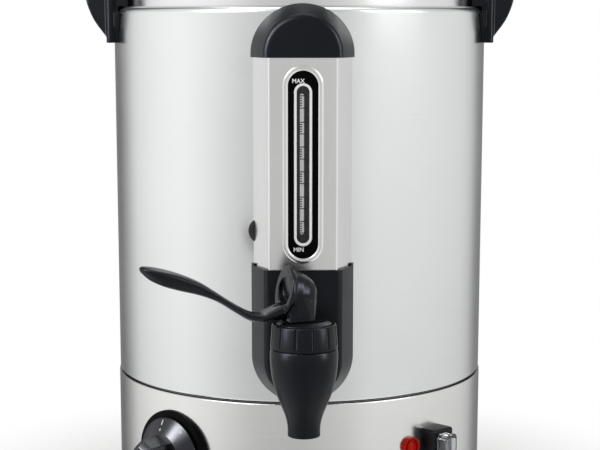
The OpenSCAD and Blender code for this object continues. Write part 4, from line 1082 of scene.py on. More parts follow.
@dataclass
class Handles:
    """Two moulded side handles, hollow behind their grips."""

    half: float = 38.0
    reach: float = 17.4
    wall: float = 3.2
    arc_r: float = 45.0
    low: float = -24.2
    top: float = 25.5
    pad_half: float = 48.6
    pad_taper: float = 11.6
    pad_t: float = 3.2
    rib_r: float = 3.0
    voxel: float = 0.55

    def right(self) -> Form:
        """Make the handle on +X: grip, two cheeks, ribs beside them and a pad on the shell."""
        s = SIZES
        b, rim, half, low = s.body_r, s.rim_z, self.half, self.low
        out = b + self.reach
        upright = frontward(0, rim)
        grip = Form.prism([(b - 14, low, 0), (b - 0.8, low, 1.5), (out, -0.5, self.arc_r),
                           (out, self.top, 9), (b - 14, self.top + 1.5, 0)], -60, 60, 24)
        plan = Form.prism([(b - 30, -half - 4, 0), (b, -half - 2, 6), (out, -half, 4),
                           (out, half, 4), (b, half + 2, 6), (b - 30, half + 4, 0)],
                          rim - 40, rim + 50, 12)
        finger = Form.prism([(b + 6.2, -40, 0), (out + 8, -40, 0), (out - 4.2, -5.4, 0.8),
                             (out - 6.6, -3.6, 0), (out - self.wall, 3.9, 26),
                             (out - self.wall, 22.8, 5.5), (b + 6.2, 23.4, 3.8)],
                            -half + self.wall + 3, half - self.wall - 3, 16)
        nest = Form.prism([(b - 3.2, -1, 0), (b + 3, -1, 0), (b + 3, 23.4, 0), (b - 3.2, 23.8, 0)],
                          -half + 4, half - 4)
        wide, narrow = self.pad_half, self.pad_half - self.pad_taper
        pad = Form.prism([(-wide, 5, 0), (-wide, -1, 3), (-narrow, low, 3), (narrow, low, 3),
                          (wide, -1, 3), (wide, 5, 0)], 0, 80)
        pad.moved(shift(b - 60, 0, rim) @ TIP_Z @ TIP_X)
        pad.share(Form.rod(b + self.pad_t, rim + low, rim - s.rim_round, 256))
        form = grip.moved(upright).share(plan).join(pad)
        for y in (-half - 1.8, half + 1.8):
            form.join(hole(self.rib_r, shift(b - 0.8, y, 0), rim + low, rim + self.top - 1.7, 32))
        form.cut(finger.moved(upright), nest.moved(upright),
                 Form.rod(b + s.snug, -1, rim + s.gap, 256),
                 Form.rod(s.seat_r + 1, 0, rim + 60, 256))
        return form.remoulded(self.voxel, 3)

    def build(self) -> None:
        """Build both handles."""
        right = self.right()
        left = right.copy().moved(Matrix.Scale(-1, 4, (1, 0, 0)))
        right.place("handle_right_moulded", SATIN_BLACK, "handle_right", crease=60)
        left.place("handle_left_moulded", SATIN_BLACK, "handle_left", crease=60)


# ---- Gauge ----------------------------------------------------------------------------


@dataclass
class Gauge:
    """Sight gauge: steel cover, black end pieces, panel, ring, window, tube and level marks."""

    cover_y: float = -148.0
    back_y: float = -127.0
    skin_y: float = -149.2
    inner_y: float = -116.0
    skin_wall: float = 2.2
    end_front: float = 24.0
    end_rear: float = 32.4
    edge: float = 4.5
    fold: float = 1.6
    cover_front: float = 21.45
    cover_rear: float = 31.0
    holder_z: float = 187.0
    ear: float = 1.4
    ear_y: float = -129.4
    cover_low: float = 185.2
    cover_top: float = 319.4
    cover_high: float = 321.2
    cap_z: float = 321.6
    round_z: float = 128.0
    window_z: float = 252.9
    run: float = 98.4
    panel_r: float = 9.8
    panel_in: float = 1.0
    panel_d: float = 3.4
    lip: float = 2.0
    ring_run: float = 90.6
    ring_in: float = 4.0
    ring_w: float = 1.7
    tube_y: float = -139.5
    tube_ends: tuple[float, float] = (161.0, 324.0)
    plug_r: float = 8.2
    ink_t: float = 0.03
    # Left end of the marks, and length of the long ones, of the short ones and their thickness
    marks_x: float = -2.1
    mark_sizes: tuple[float, float, float] = (4.3, 1.6, 0.6)
    # Heights of the first and last of six marks in each group, and each word with its place
    mark_groups: tuple[tuple[float, float], ...] = (
        (296, 288.4), (279.7, 272.4), (264.2, 256.7), (248.7, 241.3), (232.8, 225.5), (217.4, 210.1))
    words: tuple[tuple[str, float, float], ...] = (("MAX", -3.0, 305.1), ("MIN", -2.8, 199.7))

    def at_back(self, front: float, rear: float, front_y: float) -> float:
        """Half width of a tapering plan at the depth where the drum cuts it off."""
        return front + (rear - front) * (self.inner_y - front_y) / (self.back_y - front_y)

    def plan(self, front: float, rear: float, front_y: float, rounding: float,
             grow: float = 0.0) -> list[Corner]:
        """Outline a tapering column, seen from above.

        Args:
            front: Half width of its front.
            rear: Half width at the back.
            front_y: Depth of its front.
            rounding: Radius of the front corners.
            grow: How far outside those sizes.

        Returns:
            The outline's corners.
        """
        back, wide, y = self.at_back(front, rear, front_y) + grow, front + grow, front_y - grow
        return [(-back, self.inner_y, 0), (-wide, y, rounding), (wide, y, rounding),
                (back, self.inner_y, 0)]

    def folded(self, grow: float, rounding: float, low: float, high: float) -> Form:
        """Make a solid of the folded cover's outline, grown or shrunk.

        Args:
            grow: How far outside the cover's face.
            rounding: Radius of the front corners.
            low: Height where it starts.
            high: Height where it ends.

        Returns:
            The solid.
        """
        return Form.prism(self.plan(self.cover_front, self.cover_rear, self.cover_y, rounding, grow),
                          low, high, 8)

    def round_end(self, inset: float, rounding: float, run: float) -> Form:
        """Make a half-round end on the front frame, with a straight run below its middle.

        Args:
            inset: How far inside the skin.
            rounding: Radius of the front edge.
            run: Length of the straight part under the round.

        Returns:
            The closed form, its round end up.
        """
        rear = self.at_back(self.end_front, self.end_rear, self.skin_y) - inset
        form = Form.turned([(0, -self.inner_y, 0), (rear, -self.inner_y, 0),
                            (self.end_front - inset, -self.skin_y - inset, rounding),
                            (0, -self.skin_y - inset, 0)], 128, 8)
        mesh = form.mesh
        bmesh.ops.bisect_plane(mesh, geom=mesh.verts[:] + mesh.edges[:] + mesh.faces[:],
                               plane_co=(0, 0, 0), plane_no=(0, 1, 0), clear_inner=True)
        rim = [e for e in mesh.edges if len(e.link_faces) == 1]
        new = bmesh.ops.extrude_edge_only(mesh, edges=rim)["geom"]
        bmesh.ops.translate(mesh, verts=[g for g in new if isinstance(g, bmesh.types.BMVert)],
                            vec=(0, -run, 0))
        bmesh.ops.holes_fill(mesh, edges=[e for e in mesh.edges if len(e.link_faces) == 1], sides=0)
        bmesh.ops.remove_doubles(mesh, verts=mesh.verts, dist=WELD)
        bmesh.ops.recalc_face_normals(mesh, faces=mesh.faces)
        return form.moved(frontward())

    def cover(self) -> None:
        """Build the folded steel cover with the lip that turns in round its window."""
        s = SIZES
        front, face = frontward(0, self.window_z), -self.cover_y
        form = self.folded(0, self.fold, self.cover_low, self.cover_high)
        form.cut(self.folded(-s.sheet, self.fold - s.sheet, self.cover_low - 1, self.cover_high + 1),
                 Form.stadium(self.run, self.panel_r + self.lip, face - 8, face + 8).moved(front),
                 s.drum(s.body_r))
        lip = Form.turned([(9.45, face - 0.95, 0), (9.45, face, 0.4), (11.1, face + 0.8, 1.8),
                           (13, face - 0.05, 0.8), (13, face - 0.7, 0), (9.9, face - 0.7, 0),
                           (9.9, face - 0.95, 0)], 128, 5)
        form.add(self.stretch(lip, self.run).moved(front))
        form.place("gauge_cover_folded_steel", COVER_STEEL, "gauge_cover")

    def stretch(self, form: Form, run: float) -> Form:
        """Pull a turned ring apart along Y into a slot-shaped rim.

        Args:
            form: The ring, turned about Z.
            run: Length of the straight part.

        Returns:
            The same form.
        """
        for sign in (1, -1):
            move = [v for v in form.mesh.verts if v.co.y * sign > 1e-4]
            bmesh.ops.translate(form.mesh, verts=move, vec=(0, sign * run / 2, 0))
        return form

    def ends(self) -> None:
        """Build the cap over the gauge and the holder that carries the tap."""
        s = SIZES
        wall, top, at_tap = self.skin_wall, self.holder_z, frontward(0, s.tap_z)
        tall = self.cap_z - self.cover_top
        cap = self.round_end(0, self.edge, tall).cut(self.round_end(wall, 1, tall + 1))
        cap.moved(shift(0, 0, self.cap_z))
        cap.cut(self.folded(s.snug, self.fold, self.cover_top - 1, self.cover_high + s.snug),
                s.drum(s.body_r))
        cap.place("gauge_cap_moulded", SATIN_BLACK, "gauge_cap")
        flip = Matrix.Scale(-1, 4, (0, 0, 1))
        deep = top - self.round_z
        holder = self.round_end(0, self.edge, deep).moved(flip)
        holder.cut(self.round_end(wall, 1, deep + 1).moved(flip))
        holder.moved(shift(0, 0, self.round_z))
        ears = Form.prism(self.plan(self.end_front, self.end_rear, self.skin_y, 2.6),
                          top - 1, top + self.ear, 8)
        ears.cut(Form.block(100, 60, top - 2, top + 8).moved(shift(0, self.ear_y - 30, 0)))
        holder.join(ears, hole(14, at_tap, 100, 147.5, 64))
        holder.cut(self.folded(s.snug, self.fold, self.cover_low - s.snug, top + 12),
                   s.drum(s.body_r), hole(s.tap_bore, at_tap, 90, 160, 64))
        holder.place("tap_holder_moulded", SATIN_BLACK, "tap_holder")

    def panel(self) -> None:
        """Build the black panel, the white ring round its window and the window itself."""
        s = SIZES
        front, face = frontward(0, self.window_z), -self.cover_y
        back = face - self.panel_d
        plate = Form.stadium(self.run, self.panel_r - s.snug, back, face - self.panel_in, rim=0.3)
        plate.join(Form.stadium(self.run, self.panel_r + 3, back, face - 2.1))
        plate.cut(Form.stadium(self.ring_run, self.ring_in + self.ring_w, face - 5, face + 5))
        plate.moved(front).place("gauge_panel_moulded", MATTE_BLACK, "gauge_panel")
        outer = self.ring_in + self.ring_w - s.touch
        ring = Form.turned([(self.ring_in, back, 0), (self.ring_in, face - 0.4, 0.5),
                            (outer, face - 0.4, 0.5), (outer, back, 0)], 128, 4)
        ring = self.stretch(ring, self.ring_run).moved(front)
        ring.place("window_ring_moulded", WHITE_PLASTIC, "window_ring")
        glass = Form.stadium(self.ring_run + 6, 8, back - 0.85, back - s.touch, rim=0.2)
        glass.moved(front).place("gauge_window_glass", SMOKED_GLASS, "gauge_window")
        low, high = self.tube_ends
        tube = Form.turned([(3, low, 0.4), (4, low, 0.4), (4, high, 0.4), (3, high, 0.4)], 64, 3)
        tube.moved(shift(0, self.tube_y, 0)).place("sight_tube_glass", CLEAR_GLASS, "sight_tube")

    def marks(self) -> None:
        """Print the scale's marks on the window and the words at both ends on the panel, and lay a
        light grey strip of painted highlight on the window for the tube's reflection.
        """
        on_panel = -self.cover_y - self.panel_in
        on_glass = -self.cover_y - self.panel_d - 0.04
        # The light grey strip is painted highlight, standing in for the sight tube's reflection.
        strip = Form.block(2.6, 88.1, on_glass, on_glass + self.ink_t, 1.2)
        strip.moved(frontward(-0.7, 253.25)).place(
            "scale_column_printed", PAINTED_TUBE_HIGHLIGHT, slot="white_plastic")
        ink = Form()
        long, short, thick = self.mark_sizes
        for top, low in self.mark_groups:
            for i in range(6):
                wide = long if i in (0, 5) else short
                bar = Form.block(wide, thick, on_glass + 0.04, on_glass + 0.04 + self.ink_t)
                ink.add(bar.moved(frontward(self.marks_x + wide / 2, top + (low - top) * i / 5)))
        ink.place("scale_marks_printed", PRINT_BLACK, slot="matte_black")
        words = Form()
        for text, x, z in self.words:
            words.add(lettering(text, 3.7, 0.06).moved(frontward(x, z) @ shift(0, 0, on_panel + 0.02)))
        words.place("gauge_words_printed", PRINT_WHITE, slot="white_plastic")

    def grommet(self) -> None:
        """Build the round plug beside the cover."""
        s = SIZES
        b, at = s.body_r, facing(*s.plug_at)
        form = Form.turned([(0, b - 2, 0), (self.plug_r, b - 2, 0), (self.plug_r, b + 1.4, 1.0),
                            (5.4, b + 1.4, 0.4), (4.9, b + 0.9, 0.3), (0, b + 0.9, 0)], 96, 5)
        wall = self.folded(s.touch, self.fold, 195, 225)
        wall.cut(self.folded(-s.sheet - s.touch, self.fold - s.sheet, 194, 226))
        form.moved(at).cut(s.drum(b), wall)
        stem = Form.turned([(0, b - 5, 0), (6.6, b - 5, 0.5), (6.6, b - 1.2, 0), (0, b - 1.2, 0)], 64)
        form.add(stem.moved(at)).place("shell_plug_rubber", RUBBER, "shell_grommet")

    def build(self) -> None:
        """Build the whole gauge column."""
        self.cover()
        self.ends()
        self.panel()
        self.marks()
        self.grommet()


# ---- Tap ------------------------------------------------------------------------------


@dataclass
class Tap:
    """Lever tap: body, grooved collar, swivel plate and lever."""

    spout_z: float = 88.0
    seat_z: float = 110.0
    body_top: float = 143.6
    collar_low: float = 144.0
    collar_high: float = 159.0
    neck_top: float = 150.0
    neck_r: float = 16.8
    guide_t: float = 1.6
    plate_floor: float = 157.6
    plate_top: float = 161.0
    grooves: int = 12
    lever_turn: float = 18.0
    pin_z: float = 172.0
    # Where the hood meets the lever, and how far back from there each ring is, with its radius
    hood_root: tuple[float, float] = (12.7, 180.0)
    hood_tilt: float = 10.7
    hood_rings: tuple[tuple[float, float], ...] = (
        (4, 12.8), (8, 12.2), (12.7, 10.8), (16.6, 8.6), (19, 5.8))
    # Plan of one side of the hood's foot
    hood_foot: tuple[tuple[float, float], ...] = ((-4.6, 6.5), (-3.6, 9.2), (-1.4, 10.2), (9, 10.3))
    coil_r: float = 6.6
    wire: float = 0.6
    spring_turns: int = 6
    closed: float = 0.75
    spring_low: float = 118.0
    spring_top: float = 149.4
    lift: float = 3.35

    def axis(self) -> Matrix:
        """Place of the tap's upright axis."""
        return shift(0, SIZES.tap_y, 0)

    def lever_frame(self) -> Matrix:
        """Frame on the tap's axis whose X runs out along the lever."""
        return self.axis() @ about_z(180 + self.lever_turn)

    def body(self) -> None:
        """Build the moulded body: a flared spout, a water chamber and a shank."""
        s = SIZES
        z = self.spout_z
        sides = [(0, 10.2), (4, 10.1), (7, 10.3), (11, 11.1), (15, 12.4), (18, 13.65), (21, 14.9),
                 (24, 16.15), (27, 17.3), (30, 18.2), (33, 18.9), (38.5, 20.1), (44.5, 20.8),
                 (50, 21.1), (54, 20.9)]
        corners: list[Corner] = [(0, z, 0)]
        corners += [(r, z + h, 0.7 if h == 0 else 0) for h, r in sides]
        neck = self.neck_r
        corners += [(20.45, self.body_top, 0.5), (neck, self.body_top, 0), (neck, self.neck_top, 0),
                    (0, self.neck_top, 0)]
        form = Form.turned(corners, 160, 5).moved(self.axis())
        front = frontward(0, s.tap_z)
        shank = Form.turned([(0, 106, 0), (9.9, 106, 0), (10.8, 107, 0), (10.8, 149.3, 0),
                             (15, 149.3, 0.3), (15, 152.3, 0.8), (12.4, 152.3, 0.6),
                             (12.4, 172, 0), (0, 172, 0)], 96, 4).moved(front)
        form.join(shank)
        bore = Form.turned([(0, z - 1, 0), (6.9, z - 1, 0), (6.9, z, 0), (6.5, z + 0.5, 0),
                            (6.5, self.seat_z, 0), (9.4, self.seat_z, 0),
                            (9.6, self.seat_z + 1, 0), (14.2, self.seat_z + 9, 0),
                            (14.2, self.neck_top + 1, 0), (0, self.neck_top + 1, 0)], 96)
        form.cut(bore.moved(self.axis()), hole(6, front, 100, 180))
        form.place("tap_body_moulded", SATIN_BLACK, "tap_body")

    def collar(self) -> None:
        """Build the screwed collar with its grip grooves."""
        s = SIZES
        wall, screwed = self.neck_top + s.snug, self.neck_r + s.snug
        high = wall + self.guide_t
        form = Form.turned([(screwed, self.collar_low, 0), (20.85, self.collar_low, 0.5),
                            (19.7, self.collar_high, 1.1), (17.3, self.collar_high, 0.3),
                            (17.3, self.plate_floor, 0), (6.05, self.plate_floor, 0),
                            (6.05, high, 0), (3.3, high, 0), (3.3, wall, 0),
                            (screwed, wall, 0)], 192, 5)
        groove = Form.turned([(0, 0, 0), (1.25, 0, 0.5), (1.25, 20, 0), (0, 20, 0)], 24, 3)
        lean = Matrix.Rotation(math.radians(-4.4), 4, "Y")
        groove.moved(shift(21.15, 0, self.collar_low + 1.8) @ lean)
        form.cut(groove.ring(((i + 0.5) * 360 / self.grooves for i in range(self.grooves)), 0))
        form.moved(self.axis()).place("tap_collar_moulded", SATIN_BLACK, "tap_collar", crease=28)

    def turret(self) -> None:
        """Build the plate that turns with the lever."""
        s = SIZES
        low, floor = self.neck_top + s.snug + self.guide_t + s.gap, self.plate_floor + s.snug
        form = Form.turned([(3.05, low, 0), (6, low, 0.3), (6, floor, 0), (17, floor, 0),
                            (17, self.plate_top - 1.7, 0.4), (13.4, self.plate_top, 3),
                            (3.05, self.plate_top, 0)], 160, 6)
        form.moved(self.axis()).place("swivel_plate_moulded", SATIN_BLACK, "swivel_plate",
                                      "tap_turret")

    def hood(self) -> Form:
        """Make the hood's blended housing, with the stem's slot and the pin's hole kept open."""
        points = []
        out, high = self.hood_root
        tilt, steps, floor = math.radians(self.hood_tilt), 48, self.plate_top
        for back, radius in self.hood_rings:
            for i in range(steps):
                a = math.tau * i / steps
                rise = radius * math.sin(a)
                points.append((out - back * math.cos(tilt) + rise * math.sin(tilt),
                               radius * math.cos(a),
                               high - back * math.sin(tilt) + rise * math.cos(tilt)))
        for x, y in self.hood_foot:
            points += [(x, y, floor + 0.6), (x, -y, floor + 0.6)]
        form = Form.hull(points)
        form.cut(Form.block(9.4, 11.2, floor - 1, floor + 15.8),
                 Form.block(12, 6.8, floor - 1, floor + 6).moved(shift(1.3, 0, 0)),
                 hole(1.6, frontward(0, self.pin_z), -5.8, 30, 32))
        return form.moved(self.lever_frame())

    def lever(self) -> None:
        """Build the lever, its skin relaxed as it comes out of the mould."""
        form = Form.from_node("tap_lever").join(self.hood()).remoulded(0.4, 5)
        form.place("tap_lever_moulded", LEVER_BLACK, "tap_lever", "lever", crease=60)
        pin = Form.turned([(0, 0, 0), (1.5, 0, 0.3), (1.5, 13, 0.3), (0, 13, 0)], 48, 3)
        pin.moved(self.lever_frame() @ shift(0, 5.7, self.pin_z) @ TIP_X)
        pin.place("lever_pin_turned", ZINC_PLATE, "lever_pin", "lever")

    def spring(self) -> None:
        """Wind the return spring at one fixed length, though the real one shortens as the stem lifts.
        """
        tall, turns, closed = self.spring_top - self.spring_low, self.spring_turns, self.closed
        open_turns = turns - 2 * closed
        path = []
        for i in range(turns * 24 + 1):
            turn = i / 24
            rise = self.wire * 2 * min(turn, turns - turn, closed) / closed
            middle = min(max(turn - closed, 0), open_turns) / open_turns
            end = rise if turn < turns / 2 else self.wire * 4 - rise
            z = self.spring_low + end + middle * (tall - self.wire * 4)
            a = math.tau * turn
            path.append(Vector((self.coil_r * math.cos(a), self.coil_r * math.sin(a), z)))
        made = Form.wire(path, self.wire).moved(self.axis()).place(
            "tap_spring_wound_wire", ZINC_PLATE, "tap_spring")
        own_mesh(made)

    def build(self) -> None:
        """Build the tap."""
        self.body()
        self.collar()
        self.turret()
        self.lever()
        self.spring()


# ---- Controls -------------------------------------------------------------------------


@dataclass
class Controls:
    """Thermostat knob, pilot lamp and switch on the base's front."""

    plate_r: float = 30.0
    plate_d: float = 133.0
    back_d: float = 133.7
    knob_r: float = 25.5
    grip_r: float = 15.5
    skirt_t: float = 1.6
    grip_turn: float = 8.0
    crown: float = 4.0
    crown_taper: float = 0.72
    foot_d: float = 142.1
    front_d: float = 161.6
    dial_turn: float = 9.0
    lamp_r: float = 6.6
    stem_r: float = 4.2
    lamp_ribs: int = 20
    switch_w: float = 18.9
    switch_h: float = 31.0
    switch_front: float = 142.1
    pivot_d: float = 137.0
    rocker_lean: float = 7.0

    def knob(self) -> None:
        """Build the dial plate and the knob with its faceted grip."""
        s = SIZES
        at = facing(*s.knob_at)
        plate = Form.turned([(9, s.base_r - 12, 0), (self.plate_r, s.base_r - 12, 0),
                             (self.plate_r, self.plate_d, 1.2), (9, self.plate_d, 0)], 160, 5)
        plate.moved(at).cut(s.drum(s.base_r))
        plate.cut(*(hole(3.6, at @ shift(x, 0, 0), self.plate_d - 2.4, 150, 32) for x in (-10, 10)))
        plate.place("knob_plate_moulded", PLAIN_BLACK, "knob_plate")
        back, r, nose = self.back_d, self.knob_r, self.front_d - self.crown
        skirt = Form.turned([(0, back, 0), (r, back, 0.3), (r, back + self.skirt_t, 0.4),
                             (self.grip_r, self.foot_d, 0.6), (0, self.foot_d, 0)], 192, 4)
        grip = Form.prism([(0, 15, 1), (-8.5, 9, 1), (-8.5, -9, 1), (0, -15, 1), (8.5, -9, 1),
                           (8.5, 9, 1)], self.foot_d - 2, nose)
        top = [f for f in grip.mesh.faces if f.calc_center_median().z > nose - 0.01]
        grip.raise_faces(top, self.crown, self.crown_taper)
        grip.soften(0.5, lambda e: min(v.co.z for v in e.verts) > nose - 0.5)
        skirt.join(grip.moved(about_z(self.grip_turn)))
        skirt.cut(Form.turned([(8, back - 1, 0), (r - 2.4, back - 1, 0), (r - 2.4, back + 0.8, 0),
                               (12, back + 5, 0), (8, back + 5, 0)], 96),
                  Form.rod(3.05, back - 2, back + 16.1))
        skirt.moved(at).place("thermostat_knob_moulded", GLOSS_BLACK, "control_knob",
                              "thermostat_control")
        self.dial(at)

    def dial(self, at: Matrix) -> None:
        """Print a tick and plain numbers round the skirt.

        Args:
            at: The knob's frame.
        """
        slope = math.atan2(self.foot_d - self.back_d - self.skirt_t, self.knob_r - self.grip_r)

        def on_skirt(angle: float, radius: float) -> Matrix:
            """Frame on the skirt's slope at this angle and radius."""
            lift = self.back_d + self.skirt_t + (self.knob_r - radius) * math.tan(slope) + 0.03
            return at @ about_z(angle) @ shift(0, radius, lift) @ Matrix.Rotation(-slope, 4, "X")

        start, ring, inner = self.dial_turn, 22.6, 18.2
        ink = Form.block(1.0, 3.6, 0, 0.05).moved(on_skirt(start, ring))
        for i, text in enumerate(("0", "30", "45", "60", "75", "90", "100")):
            ink.add(lettering(text, 2.7, 0.05).moved(on_skirt(start - i * 45, ring if i else inner)))
        ink.place("dial_numbers_printed", PRINT_WHITE, body="thermostat_control",
                  slot="white_plastic")

    def lamp(self) -> None:
        """Build the pilot lamp's ribbed lens inside its raised rim."""
        s = SIZES
        at = facing(*s.lamp_at)
        r, z, stem = self.lamp_r, s.base_r, self.stem_r
        lens = Form.turned([(0, s.base_in - 4, 0), (stem, s.base_in - 4, 0), (stem, z - 1, 0),
                            (r, z - 1, 0), (r, z + 2.6, 0.3), (r - 0.7, z + 3.2, 0.3),
                            (r - 1.3, z + 2.4, 0), (r - 1.5, z + 0.4, 0), (r - 2.6, z + 0.4, 0),
                            (r - 2.8, z + 2.3, 0.2), (2.9, z + 3.1, 0.2), (2.5, z + 2.3, 0),
                            (1.5, z + 3.1, 0.2), (1.1, z + 2.4, 0), (0, z + 3.2, 0)], 128, 4)
        rib = Form.block(0.7, 1.0, z + 0.4, z + 4)
        notch = Form.block(0.4, 1.3, z + 2.0, z + 4)
        turns = [i * 360 / self.lamp_ribs for i in range(self.lamp_ribs)]
        lens.cut(rib.ring(turns, r + 0.1), notch.ring(turns, 3.4))
        fit = s.drum(s.base_r).cut(hole(stem, at, 100, 150))
        lens.moved(at).cut(fit).place("pilot_lens_moulded", RED_LENS, "pilot_lens")

    def switch(self) -> None:
        """Build the switch's housing, its rocker and the clear splash cap."""
        s = SIZES
        at, front = facing(*s.switch_at), self.switch_front
        housing = Form.block(self.switch_w, self.switch_h, s.base_r - 6, front, 2)
        housing.soften(1.3, lambda e: min(v.co.z for v in e.verts) > front - 0.1, 4)
        housing.moved(at).cut(s.drum(s.base_r))
        housing.join(Form.block(14.4, 26.4, s.base_in - 18, s.base_in + 6).moved(at))
        housing.cut(Form.block(11.6, 21.8, front - 9, front + 11).moved(at))
        housing.place("switch_housing_moulded", SATIN_BLACK, "switch_housing", crease=40)
        rocker = Form.prism([(-8.4, 0.2, 0.6), (-4, -1.9, 0.8), (4, -1.9, 0.8), (8.4, 0.2, 0.6),
                             (8.4, 4.8, 0.8), (0, 3.2, 6), (-8.4, 4.8, 0.8)], -4.3, 4.3, 6)
        rocker.soften(0.4)
        rocker.moved(TIP_Z @ TIP_X).add(Form.rod(1.5, -7.1, 7.1, 24).moved(TIP_Y))
        lean = Matrix.Rotation(math.radians(self.rocker_lean), 4, "X")
        rocker.moved(facing(*s.switch_at, self.pivot_d) @ lean).place(
            "switch_rocker_moulded", GLOSS_BLACK, "switch_rocker", "power_rocker")
        cap = Form.block(11.8, 25.2, front + 0.1, front + 7, 2.4)
        cap.soften(0.9, lambda e: min(v.co.z for v in e.verts) > front + 6.9)
        cap.join(Form.block(11.2, 21.2, front - 1.8, front + 1, 2.2))
        cap.cut(Form.block(9.6, 19.6, front - 2.8, front + 6.2, 1.4))
        cap.moved(at).place("switch_cap_clear", CLEAR_VINYL, "switch_cap")

    def build(self) -> None:
        """Build the controls."""
        self.knob()
        self.lamp()
        self.switch()


@dataclass
class Rear:
    """Cable gland and reset button at the back of the base."""

    gland_r: float = 10.5
    cord_r: float = 3.7
    button_r: float = 3.0
    bezel_in: float = 5.05
    bezel_r: float = 8.5

    def build(self) -> None:
        """Build the gland, its lock nut, the bezel and the button."""
        s = SIZES
        b, inner = s.base_r, s.base_in
        at = facing(*s.gland_at)
        gland = Form.rod(self.gland_r, b + s.gap, b + s.gap + 4, 6).soften(0.4)
        gland.join(Form.turned([(0, b + 3, 0), (9, b + 3, 0), (6.6, b + 14, 1), (0, b + 14, 0)], 64, 4),
                   Form.rod(6, inner - 13, inner + 5))
        gland.cut(Form.turned([(0, 110, 0), (self.cord_r, 110, 0), (self.cord_r, b + 13, 0),
                               (4.6, b + 15, 0), (0, b + 15, 0)], 48))
        gland.moved(at).place("cable_gland_moulded", SATIN_BLACK, "cable_gland")
        nut = Fasteners().nut(self.gland_r, 5, 6.05).moved(at @ shift(0, 0, inner - 5.6))
        nut.place("gland_nut_moulded", SATIN_BLACK, "gland_nut")
        at = facing(*s.reset_at)
        bezel = Form.turned([(self.bezel_in, b + s.gap, 0), (self.bezel_r, b + s.gap, 0),
                             (self.bezel_r, b + 3.4, 0.8), (self.bezel_in, b + 3.4, 0.3)], 96, 4)
        bezel.moved(at).place("reset_bezel_moulded", SATIN_BLACK, "reset_bezel")
        button = Form.turned([(0, inner - 18, 0), (self.button_r, inner - 18, 0),
                              (self.button_r, b + 5.4, 0.6), (0, b + 5.4, 0)], 64, 4)
        button.moved(at).place("reset_button_moulded", RED_PLASTIC, "reset_button",
                               "reset_plunger")


# ---- Studio ---------------------------------------------------------------------------


